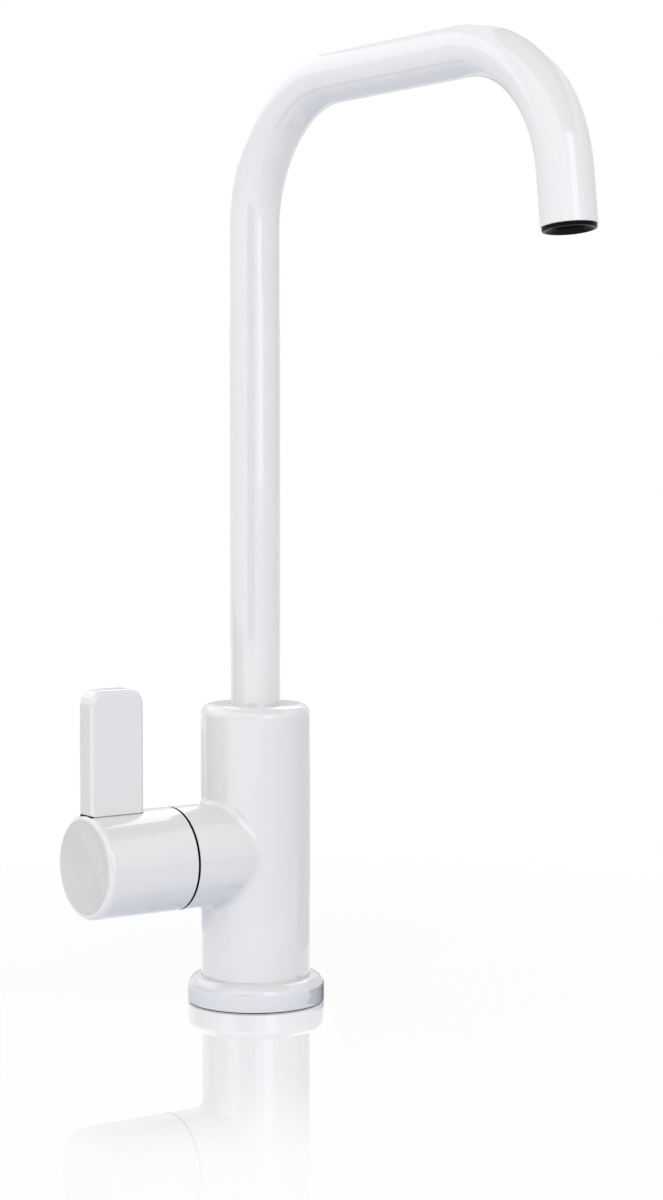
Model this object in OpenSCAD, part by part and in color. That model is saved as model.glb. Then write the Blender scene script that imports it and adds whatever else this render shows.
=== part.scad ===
// Filtered water tap: a deck-mounted column with a swivel spout bent from one tube and a quarter-turn
// ceramic valve worked by a lever on its left side. Millimetres, +Z up, deck surface at z = 0,
// spout towards -Y, handle towards -X.

/* [Base] */
// Diameter of the base flange
flange_d = 44; // [42:0.5:60]
// Height of the top of the base flange above the deck
flange_h = 8.8; // [7:0.1:14]
// Radius of the rounded shoulder of the base flange
flange_round = 3.5; // [1:0.1:3.8]
// Depth of the recess in the flange that seats the column
flange_recess = 3; // [1.5:0.1:4]
// Thickness of the rubber seal under the flange
seal_h = 1.6; // [1.2:0.1:2.4]
// How far the seal stands out below the flange
seal_proud = 0.3; // [0.2:0.1:1]
// How far the edge of the seal lies inside the edge of the flange
seal_inset = 1; // [0.8:0.1:1.5]

/* [Column] */
// Diameter of the column
body_d = 35.2; // [34.6:0.2:40]
// Height of the top of the column above the deck
body_top = 96.5; // [92:0.5:120]
// Radius of the rounded top edge of the column
body_round = 3.5; // [0.5:0.1:4]

/* [Spout] */
// Outside diameter of the spout tube
tube_d = 16; // [14:0.5:18]
// Wall of the spout tube
tube_wall = 1.5; // [1:0.1:2]
// Height of the axis of the arm above the deck
arm_z = 291.2; // [220:0.2:360]
// Distance from the column axis to the corner of arm and leg
arm_reach = 145; // [110:1:200]
// Radius of both bends, on the tube's centre line
bend_r = 43.5; // [30:0.5:46]
// Angle by which the leg leans outwards
leg_tilt = 7; // [0:0.5:15]
// Length of the leg from that corner to the end of the tube
leg_len = 53.6; // [48:0.2:90]
// Depth of the socket in the column that holds the spout
socket_depth = 33; // [32:0.5:34]

/* [Outlet] */
// Diameter of the black lip under the end of the tube
lip_d = 15.2; // [14.2:0.1:15.8]
// Height of that lip
lip_h = 1.1; // [0.6:0.1:2]
// Diameter of the mouth that the water leaves by
mouth_d = 9; // [7:0.2:9.6]
// Diameter of one hole of the flow straightener
jet_d = 1.2; // [0.8:0.1:1.3]

/* [Valve] */
// Height of the valve axis above the deck
valve_z = 49; // [47:0.2:49.4]
// Diameter of the boss and of the handle barrel
boss_d = 32.8; // [32:0.2:34]
// Distance from the column axis to the end face of the boss
boss_reach = 31.6; // [30.6:0.2:34]
// Diameter of the ceramic discs
disc_d = 15; // [13:0.2:15.2]
// Thickness of one ceramic disc
disc_h = 3; // [2.6:0.1:3.2]
// Diameter of the valve spindle
spindle_d = 9; // [8.8:0.1:9.4]
// Angle that the valve turns between shut and open
valve_turn = 90; // [60:5:100]

/* [Handle] */
// Width of the dark seam between boss and barrel
seam_gap = 0.8; // [0.5:0.1:1.2]
// Distance from the column axis to the outer end of the barrel
barrel_end = 64; // [62:0.2:72]
// Radius of the rounded outer edge of the barrel
barrel_round = 2; // [1:0.1:3]
// Depth of the dish in the end cap
dish_depth = 1.5; // [0.4:0.1:2]

/* [Lever] */
// Width of the lever along the handle axis
lever_w = 19.2; // [17:0.1:20]
// Thickness of the lever
lever_t = 7.8; // [6:0.1:9]
// Height of the tip of the lever above the barrel
lever_h = 38.6; // [25:0.1:60]
// Distance from the outer end of the barrel to the lever
lever_inset = 0.5; // [0.3:0.1:2]
// Radius of the two upper corners of the lever
lever_corner = 5; // [1:0.1:6]
// Radius of the upright edges of the lever
lever_edge = 1.4; // [0.4:0.1:2]
// Shadow gap between lever and barrel
lever_gap = 0.2; // [0.2:0.1:0.8]

/* [Tail] */
// Outside diameter of the threaded tail that passes through the deck
tail_d = 24; // [22:0.5:24.2]
// Length of the threaded tail below the deck
tail_len = 60; // [46:1:90]
// Thickness of the deck between seal and washer
deck_t = 30; // [6:1:42]
// Outside diameter of the inlet end, a G 1/2 pipe thread
inlet_d = 20.955; // [16.662:0.001:21.2]
// Length of the inlet end
inlet_len = 16; // [10:0.5:24]
// Diameter of the waterway through the tail
inlet_bore = 10; // [6:0.5:12]

/* [Hidden] */
$fn = 96;
over = 1;

// Clearances, all measured on the radius or across a flat seat
run_gap = 0.05;
seat_gap = 0.05;
thread_gap = 0.1;
slide_gap = 0.2;

flange_r = flange_d / 2;
body_r = body_d / 2;
tube_r = tube_d / 2;
boss_r = boss_d / 2;
tail_r = tail_d / 2;
inlet_r = inlet_d / 2;
spindle_r = spindle_d / 2;
disc_r = disc_d / 2;

// Base and tail
body_foot = flange_h - flange_recess;
seal_r = flange_r - seal_inset;
seal_hole_r = tail_r + 1;
tail_grip = 14;
tail_head = body_foot + tail_grip;
tail_ring_t = 1.8;
tail_chamfer = 1;
rubber_washer_d = 40;
rubber_washer_h = 3;
steel_washer_d = 36;
steel_washer_h = 1.5;
nut_af = 32;
nut_h = 8;
rubber_top = -deck_t;
steel_top = rubber_top - rubber_washer_h;
nut_top = steel_top - steel_washer_h;

// Water ways inside the column
inlet_way_r = 4;
outlet_way_r = 2.5;
seat_u = 8;

// Spout spigot, counted upwards from the floor of its socket
socket_floor = body_top - socket_depth;
socket_r = tube_r + run_gap;
spigot_foot = socket_floor + slide_gap;
spigot_len = 22;
spigot_top = spigot_foot + spigot_len;
spigot_neck_len = 10;
spigot_bore_r = tube_r - tube_wall - 1.4;
ring_section = 1.9;
ring_groove_depth = 1.75;
ring_groove_w = 2.4;
ring_steps = [4.6, 8.2];
glide_groove_depth = 1.2;
glide_w = 2;
glide_steps = [1.4, 18.4];
keeper_step = 12.4;
keeper_groove_w = 3.6;
keeper_groove_depth = 1.8;
keeper_r = 2.5;
keeper_dog_r = 1.4;
keeper_recess = 0.6;
keeper_key_af = 2.5;
keeper_key_depth = 2.5;
keeper_z = spigot_foot + keeper_step + keeper_groove_w / 2;

// Spout route in its own plane: x forwards, y up, in whole hundredths so that its pieces meet exactly
function hundredth(v) = round(v * 100) / 100;
turn_2 = 90 - leg_tilt;
route_r = hundredth(bend_r);
route_z = hundredth(arm_z);
tangent_2 = hundredth(bend_r * tan(turn_2 / 2));
arm_end = hundredth(arm_reach) - tangent_2;
leg_run = hundredth(leg_len) - tangent_2;
leg_step = 0.01;
leg_lap = 0.3;

// Outlet insert, counted back into the tube from its end
insert_len = 9;
insert_r = tube_r - tube_wall - leg_step - run_gap;
insert_ring_section = 1.2;
insert_ring_groove = 1.1;
insert_ring_at = 5;
straightener_at = 2.2;
straightener_h = 3;
straightener_ledge = 0.5;
jet_pitch = 1.9;
jet_rings = 2;

// Valve, counted outwards along its axis from the column axis
seat_seal_h = 2.9;
fixed_disc_u = seat_u + seat_seal_h + seat_gap;
moving_disc_u = fixed_disc_u + disc_h + seat_gap;
driver_u = moving_disc_u + disc_h + seat_gap;
driver_h = 2.6;
sleeve_r = disc_r + 1.1;
sleeve_bore_r = disc_r + 0.1;
chamber_r = sleeve_r + 1.9;
sleeve_end_u = driver_u + driver_h + slide_gap;
collar_u = sleeve_end_u - 0.6;
collar_h = 3.2;
collar_r = chamber_r + 0.9;
mouth_r = collar_r + thread_gap;
neck_r = spindle_r + 2.5;
gland_u = collar_u + collar_h + seat_gap;
gland_head_h = 4;
gland_head_af = 24;
neck_end_u = boss_reach + gland_head_h + 1.6;
collar_ring_section = 1.4;
collar_ring_groove = 1.3;
spindle_ring_section = 1.2;
spindle_ring_groove = 1.15;
spindle_ring_u = gland_u + 4;
clip_h = 0.9;
clip_groove = 0.6;
clip_r = spindle_r + 2;
clip_u = neck_end_u + slide_gap;
port_in_r = 2.2;
port_out_r = disc_r - 2;
port_angle = 70;
window_w = 7;
window_h = disc_h + 1;
key_w = 3.6;
key_len = disc_d - 5;
key_h = 1.2;
stop_h = 1;
stop_angle = 50;
stop_slack = 2;
stop_in_r = spindle_r + 0.6;

// Handle, counted outwards along the valve axis
barrel_u = boss_reach + seam_gap;
barrel_bore_r = gland_head_af / 2 / cos(30) + 0.4;
hub_u = clip_u + clip_h + 1.2;
cap_recess = 8;
hub_end_u = barrel_end - cap_recess;
hub_wall = 3;
spline_u = hub_u - 0.8;
spline_end_u = hub_end_u - hub_wall - slide_gap;
spline_r = spindle_r - 0.5;
spline_depth = 0.35;
spline_teeth = 20;
handle_screw_r = 2;
handle_screw_len = 10;
handle_screw_head_r = 3.5;
handle_screw_head_h = 2.6;
screw_key_af = 2.5;
screw_key_depth = 1.6;
cap_r = boss_r - barrel_round - 0.1;
cap_skirt = 1.1;
cap_web_u = hub_end_u + handle_screw_head_h + 0.6;
glide_ring_in_r = barrel_bore_r + 0.2;
glide_ring_out_r = boss_r - 0.35;

// Lever and its tenon
lever_out_u = barrel_end - lever_inset;
lever_in_u = lever_out_u - lever_w;
tenon_w = 6;
tenon_t = lever_t - 2.4;
tenon_out_u = hub_end_u - 4.5;
tenon_foot = spline_r + 4;
lever_screw_r = 2;
lever_screw_len = 4.2;
lever_screw_x = tenon_foot + lever_screw_r + 0.5;
lever_key_af = 2;
lever_key_depth = 2;

// Frames

// Local z runs outwards along the valve axis, local x up, local -y to the front
module on_valve_axis(u = 0) {
    translate([0, 0, valve_z]) rotate([0, -90, 0]) translate([0, 0, u]) children();
}

// Local x runs forwards, local y up
module in_spout_plane() {
    rotate([90, 0, -90]) children();
}

// The second bend's centre, with local x along the radius where the bend meets the leg
module at_second_bend() {
    in_spout_plane() translate([arm_end, route_z - route_r, 0]) rotate([0, 0, leg_tilt]) children();
}

// Local z runs out of the end of the spout tube, with z = 0 at the end
module at_tube_end() {
    at_second_bend() translate([route_r, -leg_run, 0]) rotate([90, 0, 0]) children();
}

// Local z runs inwards, at the back of the column, with z = 0 on its axis
module at_keeper() {
    translate([0, 0, keeper_z]) rotate([-90, 0, 0]) children();
}

// Shapes that repeat

module ring(outer_r, inner_r, h) {
    difference() {
        cylinder(r = outer_r, h = h);
        translate([0, 0, -over]) cylinder(r = inner_r, h = h + 2 * over);
    }
}

// Round cord of a given section lying between a groove's floor and the wall outside it
module o_ring(outer_r, section) {
    rotate_extrude() translate([outer_r - section / 2, 0]) circle(d = section, $fn = 48);
}

module sector(inner_r, outer_r, h, angle) {
    rotate([0, 0, -angle / 2]) rotate_extrude(angle = angle)
        translate([inner_r, 0]) square([outer_r - inner_r, h]);
}

// Post with a rounded upper edge
module rounded_post(r, h, round_r) {
    rotate_extrude() {
        square([r - round_r, h]);
        square([r, h - round_r]);
        translate([r - round_r, h - round_r]) circle(r = round_r);
    }
}

module hexagon(af, h) {
    cylinder(r = af / 2 / cos(30), h = h, $fn = 6);
}

module spline(r, h) {
    step = 360 / spline_teeth;
    linear_extrude(h) polygon([
        for (i = [0 : spline_teeth - 1], k = [0, 1])
            (r - k * spline_depth) * [cos((i + k / 2) * step), sin((i + k / 2) * step)]
    ]);
}

// The bent run of the spout, from a given height up and round to its end
module spout_run(r, start_z, overrun) {
    in_spout_plane() {
        translate([0, start_z, 0]) rotate([-90, 0, 0]) cylinder(r = r, h = route_z - route_r - start_z);
        translate([route_r, route_z - route_r, 0]) rotate([0, 0, 90]) spout_bend(r, 90);
        translate([route_r, route_z, 0]) rotate([0, 90, 0]) cylinder(r = r, h = arm_end - route_r);
        translate([arm_end, route_z - route_r, 0]) mirror([1, 0, 0]) rotate([0, 0, 90]) spout_bend(r, turn_2);
    }
    at_second_bend() translate([route_r, leg_lap, 0]) rotate([90, 0, 0])
        cylinder(r = r - leg_step, h = leg_run + leg_lap + overrun);
}

module spout_bend(r, angle) {
    rotate_extrude(angle = angle) translate([route_r, 0]) circle(r = r);
}

// Parts that stay with the deck

module tap_body() {
    color("whitesmoke") difference() {
        union() {
            translate([0, 0, body_foot]) rounded_post(body_r, body_top - body_foot, body_round);
            on_valve_axis() cylinder(r = boss_r, h = boss_reach);
        }
        translate([0, 0, socket_floor]) cylinder(r = socket_r, h = socket_depth + over);
        translate([0, 0, body_foot - over])
            cylinder(r = tail_r + thread_gap, h = tail_grip + tail_ring_t + seat_gap + over);
        translate([0, 0, body_foot]) cylinder(r = inlet_way_r, h = valve_z - body_foot);
        on_valve_axis() cylinder(r = inlet_way_r, h = seat_u + over);
        on_valve_axis(seat_u) cylinder(r = chamber_r, h = collar_u - seat_u + over);
        on_valve_axis(collar_u) cylinder(r = mouth_r, h = boss_reach - collar_u + over);
        outlet_way();
        at_keeper() cylinder(r = keeper_r + run_gap, h = body_r + over);
    }
}

// Slanting way from the valve chamber up to the spout socket
module outlet_way() {
    top = [0, 0, socket_floor + outlet_way_r];
    foot = [-(seat_u + collar_u) / 2, 0, valve_z + sleeve_r - outlet_way_r];
    run = top - foot;
    translate(foot) rotate([0, acos(run.z / norm(run)), 0]) cylinder(r = outlet_way_r, h = norm(run));
}

module base_flange() {
    color("whitesmoke") difference() {
        translate([0, 0, seal_proud]) rounded_post(flange_r, flange_h - seal_proud, flange_round);
        translate([0, 0, body_foot]) cylinder(r = body_r + seat_gap, h = flange_recess + over);
        cylinder(r = tail_r + slide_gap, h = flange_h + over);
        translate([0, 0, seal_proud - over]) cylinder(r = seal_r + seat_gap, h = seal_h - seal_proud + over);
    }
}

module base_seal() {
    color("dimgray") ring(seal_r, seal_hole_r, seal_h);
}

module threaded_tail() {
    color("goldenrod") difference() {
        union() {
            translate([0, 0, -tail_len]) cylinder(r = tail_r, h = tail_len + tail_head);
            translate([0, 0, -tail_len - inlet_len + tail_chamfer])
                cylinder(r = inlet_r, h = inlet_len - tail_chamfer + over);
            translate([0, 0, -tail_len - inlet_len])
                cylinder(r1 = inlet_r - tail_chamfer, r2 = inlet_r, h = tail_chamfer);
        }
        translate([0, 0, -tail_len - inlet_len - over])
            cylinder(d = inlet_bore, h = tail_len + inlet_len + tail_head + 2 * over);
    }
}

module tail_o_ring() {
    color("dimgray") translate([0, 0, tail_head + tail_ring_t / 2]) o_ring(tail_r - 1, tail_ring_t);
}

module deck_rubber_washer() {
    color("dimgray") translate([0, 0, steel_top])
        ring(rubber_washer_d / 2, tail_r + slide_gap, rubber_washer_h);
}

module deck_steel_washer() {
    color("silver") translate([0, 0, nut_top]) ring(steel_washer_d / 2, tail_r + slide_gap, steel_washer_h);
}

module back_nut() {
    color("goldenrod") translate([0, 0, nut_top - nut_h]) difference() {
        hexagon(nut_af, nut_h);
        translate([0, 0, -over]) cylinder(r = tail_r + thread_gap, h = nut_h + 2 * over);
    }
}

module cartridge_housing() {
    color("goldenrod") difference() {
        union() {
            on_valve_axis(seat_u + seat_gap) cylinder(r = sleeve_r, h = collar_u - seat_u);
            on_valve_axis(collar_u + seat_gap) cylinder(r = collar_r, h = collar_h - seat_gap);
            on_valve_axis(collar_u + seat_gap) cylinder(r = neck_r, h = neck_end_u - collar_u - seat_gap);
        }
        on_valve_axis(seat_u - over) cylinder(r = sleeve_bore_r, h = sleeve_end_u - seat_u + over);
        on_valve_axis(seat_u) cylinder(r = spindle_r + run_gap, h = neck_end_u - seat_u + over);
        on_valve_axis(collar_u + collar_h / 2)
            ring(collar_r + over, collar_r - collar_ring_groove, collar_ring_section);
        on_valve_axis(moving_disc_u) for (side = [0, 180])
            rotate([0, 0, side]) translate([0, -window_w / 2, 0]) cube([sleeve_r + over, window_w, window_h]);
    }
    color("goldenrod") on_valve_axis(sleeve_end_u - stop_h) stop_lug();
}

// Lug that limits the turn of the spindle
module stop_lug() {
    rotate([0, 0, -90])
        sector(stop_in_r, (sleeve_bore_r + sleeve_r) / 2, stop_h + over / 2, stop_angle);
}

module cartridge_o_ring() {
    color("dimgray") on_valve_axis(collar_u + collar_h / 2 + collar_ring_section / 2)
        o_ring(mouth_r - seat_gap, collar_ring_section - seat_gap);
}

module gland_nut() {
    color("goldenrod") difference() {
        union() {
            on_valve_axis(gland_u) cylinder(r = mouth_r - thread_gap, h = boss_reach - gland_u + over);
            on_valve_axis(boss_reach + seat_gap) hexagon(gland_head_af, gland_head_h);
        }
        on_valve_axis(gland_u - over)
            cylinder(r = neck_r + run_gap, h = boss_reach + gland_head_h - gland_u + 2 * over);
    }
}

module seat_seal() {
    color("dimgray") on_valve_axis(seat_u + seat_gap) ring(disc_r, inlet_way_r + 0.6, seat_seal_h - seat_gap);
}

// Disc with two opposite ports; the first port's middle lies on the local y axis
module ported_disc(h) {
    difference() {
        cylinder(r = disc_r, h = h);
        for (side = [90, -90])
            rotate([0, 0, side]) translate([0, 0, -over])
                sector(port_in_r, port_out_r, h + 2 * over, port_angle);
    }
}

module fixed_ceramic_disc() {
    color("ivory") on_valve_axis(fixed_disc_u) ported_disc(disc_h);
}

// Grub screw at the back of the column; its dog point runs in the groove of the spigot
module spout_keeper_screw() {
    dog_tip = tube_r - keeper_groove_depth + slide_gap;
    head = body_r - keeper_recess;
    color("silver") at_keeper() difference() {
        union() {
            translate([0, 0, dog_tip]) cylinder(r = keeper_dog_r, h = head - dog_tip);
            translate([0, 0, socket_r + slide_gap]) cylinder(r = keeper_r, h = head - socket_r - slide_gap);
        }
        translate([0, 0, head - keeper_key_depth]) hexagon(keeper_key_af, keeper_key_depth + over);
    }
}

// Parts that swivel with the spout

module spout_tube() {
    color("whitesmoke") difference() {
        spout_run(tube_r, spigot_top, 0);
        spout_run(tube_r - tube_wall, spigot_top - over, over);
    }
}

module spout_spigot() {
    color("goldenrod") difference() {
        union() {
            translate([0, 0, spigot_foot]) cylinder(r = tube_r, h = spigot_len);
            translate([0, 0, spigot_top - over])
                cylinder(r = tube_r - tube_wall - run_gap, h = spigot_neck_len + over);
        }
        translate([0, 0, spigot_foot - over])
            cylinder(r = spigot_bore_r, h = spigot_len + spigot_neck_len + 2 * over);
        for (step = ring_steps)
            spigot_groove(step, ring_groove_w, ring_groove_depth);
        for (step = glide_steps)
            spigot_groove(step, glide_w, glide_groove_depth);
        spigot_groove(keeper_step, keeper_groove_w, keeper_groove_depth);
    }
}

module spigot_groove(step, w, depth) {
    translate([0, 0, spigot_foot + step]) ring(tube_r + over, tube_r - depth, w);
}

module spout_o_rings() {
    color("dimgray") for (step = ring_steps)
        translate([0, 0, spigot_foot + step + ring_groove_w / 2])
            o_ring(socket_r - seat_gap / 2, ring_groove_depth - seat_gap / 2);
}

module spout_glide_rings() {
    color("ivory") for (step = glide_steps)
        translate([0, 0, spigot_foot + step + seat_gap])
            ring(tube_r, tube_r - glide_groove_depth + seat_gap, glide_w - 2 * seat_gap);
}

// Black insert in the end of the tube: a lip below the end, a throat and a tapered mouth
module outlet_insert() {
    mouth_r = mouth_d / 2;
    color("black") at_tube_end() difference() {
        union() {
            translate([0, 0, -insert_len]) cylinder(r = insert_r, h = insert_len + lip_h / 2);
            translate([0, 0, seat_gap]) cylinder(r = lip_d / 2, h = lip_h - seat_gap);
        }
        translate([0, 0, -insert_len - over]) cylinder(r = mouth_r, h = insert_len + 2 * over + lip_h);
        translate([0, 0, lip_h - lip_taper()])
            cylinder(r1 = mouth_r, r2 = mouth_r + 2 * lip_taper(), h = 2 * lip_taper());
        translate([0, 0, -straightener_at - straightener_h - seat_gap])
            cylinder(r = mouth_r + straightener_ledge, h = straightener_h + seat_gap);
        translate([0, 0, -insert_ring_at - insert_ring_section / 2])
            ring(insert_r + over, insert_r - insert_ring_groove, insert_ring_section);
    }
}

// Depth of the tapered mouth in the lip
function lip_taper() = min(lip_h, (lip_d - mouth_d) / 2 - 1.4);

module outlet_o_ring() {
    color("dimgray") at_tube_end() translate([0, 0, -insert_ring_at])
        o_ring(insert_r, insert_ring_groove - seat_gap);
}

// Disc of fine holes that turns the water into one clear stream
module flow_straightener() {
    color("dimgray") at_tube_end() translate([0, 0, -straightener_at - straightener_h]) difference() {
        cylinder(r = mouth_d / 2 + straightener_ledge - seat_gap, h = straightener_h - seat_gap);
        translate([0, 0, -over]) cylinder(d = jet_d, h = straightener_h + 2 * over, $fn = 24);
        for (n = [1 : jet_rings], i = [0 : 6 * n - 1])
            rotate([0, 0, i * 60 / n]) translate([n * jet_pitch, 0, -over])
                cylinder(d = jet_d, h = straightener_h + 2 * over, $fn = 24);
    }
}

// Parts that turn with the lever

module handle_barrel() {
    color("whitesmoke") difference() {
        on_valve_axis(barrel_u) rounded_post(boss_r, barrel_end - barrel_u, barrel_round);
        on_valve_axis(barrel_u - over) cylinder(r = barrel_bore_r, h = hub_u - barrel_u + over);
        on_valve_axis(hub_end_u) cylinder(r = cap_r + seat_gap, h = cap_recess + over);
        on_valve_axis(hub_u - over) spline(spline_r + run_gap, hub_end_u - hub_wall - hub_u + over);
        on_valve_axis(hub_u) cylinder(r = handle_screw_r + slide_gap, h = hub_end_u - hub_u + over);
        lever_tenon(seat_gap, over);
        on_valve_axis(tenon_out_u) translate([lever_screw_x, 0, 0])
            cylinder(r = lever_screw_r + run_gap, h = hub_end_u - tenon_out_u + over);
    }
}

// Tenon of the lever, grown by a gap on its sides and raised above the barrel
module lever_tenon(gap, rise) {
    on_valve_axis(tenon_out_u - tenon_w - gap) translate([tenon_foot, -tenon_t / 2 - gap, 0])
        cube([boss_r + rise - tenon_foot, tenon_t + 2 * gap, tenon_w + 2 * gap]);
}

// Dished cap that hides the screw in the end of the barrel
module handle_end_cap() {
    dish_r = (cap_r * cap_r + dish_depth * dish_depth) / (2 * dish_depth);
    color("whitesmoke") on_valve_axis() difference() {
        translate([0, 0, hub_end_u]) cylinder(r = cap_r, h = cap_recess);
        translate([0, 0, hub_end_u - over]) cylinder(r = cap_r - cap_skirt, h = cap_web_u - hub_end_u + over);
        translate([0, 0, barrel_end - dish_depth + dish_r]) sphere(r = dish_r);
    }
}

module handle_screw() {
    color("silver") on_valve_axis(hub_end_u) difference() {
        union() {
            translate([0, 0, -handle_screw_len]) cylinder(r = handle_screw_r, h = handle_screw_len + over);
            cylinder(r = handle_screw_head_r, h = handle_screw_head_h);
        }
        translate([0, 0, handle_screw_head_h - screw_key_depth])
            hexagon(screw_key_af, screw_key_depth + over);
    }
}

module handle_glide_ring() {
    color("black") on_valve_axis(boss_reach + seat_gap)
        ring(glide_ring_out_r, glide_ring_in_r, seam_gap - seat_gap);
}

// Flat lever with rounded corners, cut to the round of the barrel
module lever_blade() {
    top = boss_r + lever_h;
    color("whitesmoke") {
        difference() {
            intersection() {
                on_valve_axis(lever_in_u) rotate([90, 0, 0]) translate([0, 0, -lever_t / 2 - over])
                    linear_extrude(lever_t + 2 * over) blade_front(top);
                on_valve_axis(lever_in_u) rotate([0, 90, 0]) linear_extrude(top + over) blade_plan();
            }
            on_valve_axis(lever_in_u - over) cylinder(r = boss_r + lever_gap, h = lever_w + 2 * over);
        }
        lever_tenon(0, lever_gap + over);
    }
}

// Face of the lever: x up from the valve axis, y outwards along it
module blade_front(top) {
    square([top - lever_corner, lever_w]);
    translate([0, lever_corner]) square([top, lever_w - 2 * lever_corner]);
    for (y = [lever_corner, lever_w - lever_corner])
        translate([top - lever_corner, y]) circle(r = lever_corner);
}

// Section of the lever seen from its tip: x inwards along the handle axis, y across
module blade_plan() {
    translate([-lever_w, -lever_t / 2 + lever_edge]) square([lever_w, lever_t - 2 * lever_edge]);
    translate([-lever_w + lever_edge, -lever_t / 2]) square([lever_w - 2 * lever_edge, lever_t]);
    for (x = [lever_edge - lever_w, -lever_edge], y = [-1, 1])
        translate([x, y * (lever_t / 2 - lever_edge)]) circle(r = lever_edge);
}

// Grub screw inside the barrel that clamps the tenon of the lever
module lever_set_screw() {
    color("silver") on_valve_axis(tenon_out_u + seat_gap) translate([lever_screw_x, 0, 0]) difference() {
        cylinder(r = lever_screw_r, h = lever_screw_len);
        translate([0, 0, lever_screw_len - lever_key_depth]) hexagon(lever_key_af, lever_key_depth + over);
    }
}

module valve_spindle() {
    color("goldenrod") difference() {
        union() {
            on_valve_axis(driver_u) cylinder(r = disc_r - 0.1, h = driver_h);
            on_valve_axis(driver_u) cylinder(r = spindle_r, h = spline_u - driver_u);
            on_valve_axis(spline_u - over) spline(spline_r, spline_end_u - spline_u + over);
            on_valve_axis(driver_u - key_h) translate([-key_len / 2, -key_w / 2, 0])
                cube([key_len, key_w, key_h + over]);
        }
        on_valve_axis(driver_u + driver_h - stop_h - slide_gap) stop_track();
        on_valve_axis(spindle_ring_u - spindle_ring_section / 2)
            ring(spindle_r + over, spindle_r - spindle_ring_groove, spindle_ring_section);
        on_valve_axis(clip_u) ring(spindle_r + over, spindle_r - clip_groove, clip_h);
        on_valve_axis(hub_end_u - handle_screw_len - over)
            cylinder(r = handle_screw_r + run_gap, h = handle_screw_len + over);
    }
}

// Track in the driver that the lug runs in, from shut to open
module stop_track() {
    span = stop_angle + valve_turn + 2 * stop_slack;
    rotate([0, 0, -90 + valve_turn / 2])
        sector(stop_in_r - slide_gap, disc_r + over, stop_h + slide_gap + over, span);
}

module moving_ceramic_disc() {
    color("ivory") on_valve_axis(moving_disc_u) difference() {
        rotate([0, 0, 90]) ported_disc(disc_h);
        translate([-key_len / 2 - seat_gap, -key_w / 2 - seat_gap, disc_h - key_h])
            cube([key_len + 2 * seat_gap, key_w + 2 * seat_gap, key_h + over]);
    }
}

module spindle_o_ring() {
    color("dimgray") on_valve_axis(spindle_ring_u) o_ring(spindle_r + run_gap / 2, spindle_ring_groove);
}

module spindle_circlip() {
    color("silver") on_valve_axis(clip_u + seat_gap) difference() {
        ring(clip_r, spindle_r - clip_groove + seat_gap, clip_h - 2 * seat_gap);
        translate([0, 0, -over]) sector(0, clip_r + over, clip_h + 2 * over, 50);
    }
}

tap_body();
base_flange();
base_seal();
threaded_tail();
tail_o_ring();
deck_rubber_washer();
deck_steel_washer();
back_nut();
cartridge_housing();
cartridge_o_ring();
gland_nut();
seat_seal();
fixed_ceramic_disc();
spout_keeper_screw();
spout_tube();
spout_spigot();
spout_o_rings();
spout_glide_rings();
outlet_insert();
outlet_o_ring();
flow_straightener();
handle_barrel();
handle_end_cap();
handle_screw();
handle_glide_ring();
lever_blade();
lever_set_screw();
valve_spindle();
moving_ceramic_disc();
spindle_o_ring();
spindle_circlip();
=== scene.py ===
# %% [markdown]
# # A filtered water tap in a white studio
#
# The tap is a slim white column on a round flange. A lever valve sits on its left side, and a tall
# spout, bent from one tube, carries the water forwards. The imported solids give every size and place.
# This lesson sets the camera and the light, mixes the finishes, and rebuilds the pieces whose soft edges
# and blends the solids lack.

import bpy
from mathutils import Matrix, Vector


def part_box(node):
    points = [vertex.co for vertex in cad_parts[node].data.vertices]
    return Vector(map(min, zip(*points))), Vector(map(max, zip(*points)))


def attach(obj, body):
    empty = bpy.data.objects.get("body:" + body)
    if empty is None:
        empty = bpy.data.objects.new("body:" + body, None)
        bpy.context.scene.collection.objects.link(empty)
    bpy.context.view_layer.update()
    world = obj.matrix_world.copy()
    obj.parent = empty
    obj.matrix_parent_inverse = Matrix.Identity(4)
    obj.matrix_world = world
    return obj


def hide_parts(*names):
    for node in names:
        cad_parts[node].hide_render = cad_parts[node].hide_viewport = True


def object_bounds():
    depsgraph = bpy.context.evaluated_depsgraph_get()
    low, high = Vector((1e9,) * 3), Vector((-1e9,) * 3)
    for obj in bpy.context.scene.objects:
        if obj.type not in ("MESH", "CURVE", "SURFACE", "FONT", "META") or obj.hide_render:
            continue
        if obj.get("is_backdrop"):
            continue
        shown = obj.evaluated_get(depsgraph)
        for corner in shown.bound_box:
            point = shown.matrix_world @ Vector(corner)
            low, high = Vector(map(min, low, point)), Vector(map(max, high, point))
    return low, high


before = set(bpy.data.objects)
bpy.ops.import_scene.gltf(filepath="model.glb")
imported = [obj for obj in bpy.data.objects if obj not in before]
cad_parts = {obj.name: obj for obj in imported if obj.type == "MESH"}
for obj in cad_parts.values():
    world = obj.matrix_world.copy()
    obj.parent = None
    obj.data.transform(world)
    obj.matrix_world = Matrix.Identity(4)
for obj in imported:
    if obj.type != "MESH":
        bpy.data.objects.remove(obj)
solid_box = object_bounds()

# %% [markdown]
# Blender works in metres, and a tap maker thinks in millimetres. One factor, `mm`, turns a drawing's
# number into Blender's, so every size of the tap reads as it would on the drawing. Two gaps come back
# all over it: `seat_gap` where a piece sits in another, and `slide_gap` where one passes freely through
# another.

# %% Tools and the unit of the drawing
import math

import bmesh
import bpy
from mathutils import Matrix, Vector

mm = 0.001
seat_gap = 0.05
slide_gap = 0.2
scene = bpy.context.scene
scene.view_settings.view_transform = "Standard"


def extent(name):
    low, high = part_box(name)
    return low / mm, high / mm


for name in ("tap_body", "spout_tube", "handle_barrel", "lever_blade"):
    print(name, [[round(v, 2) for v in corner] for corner in extent(name)])

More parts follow.
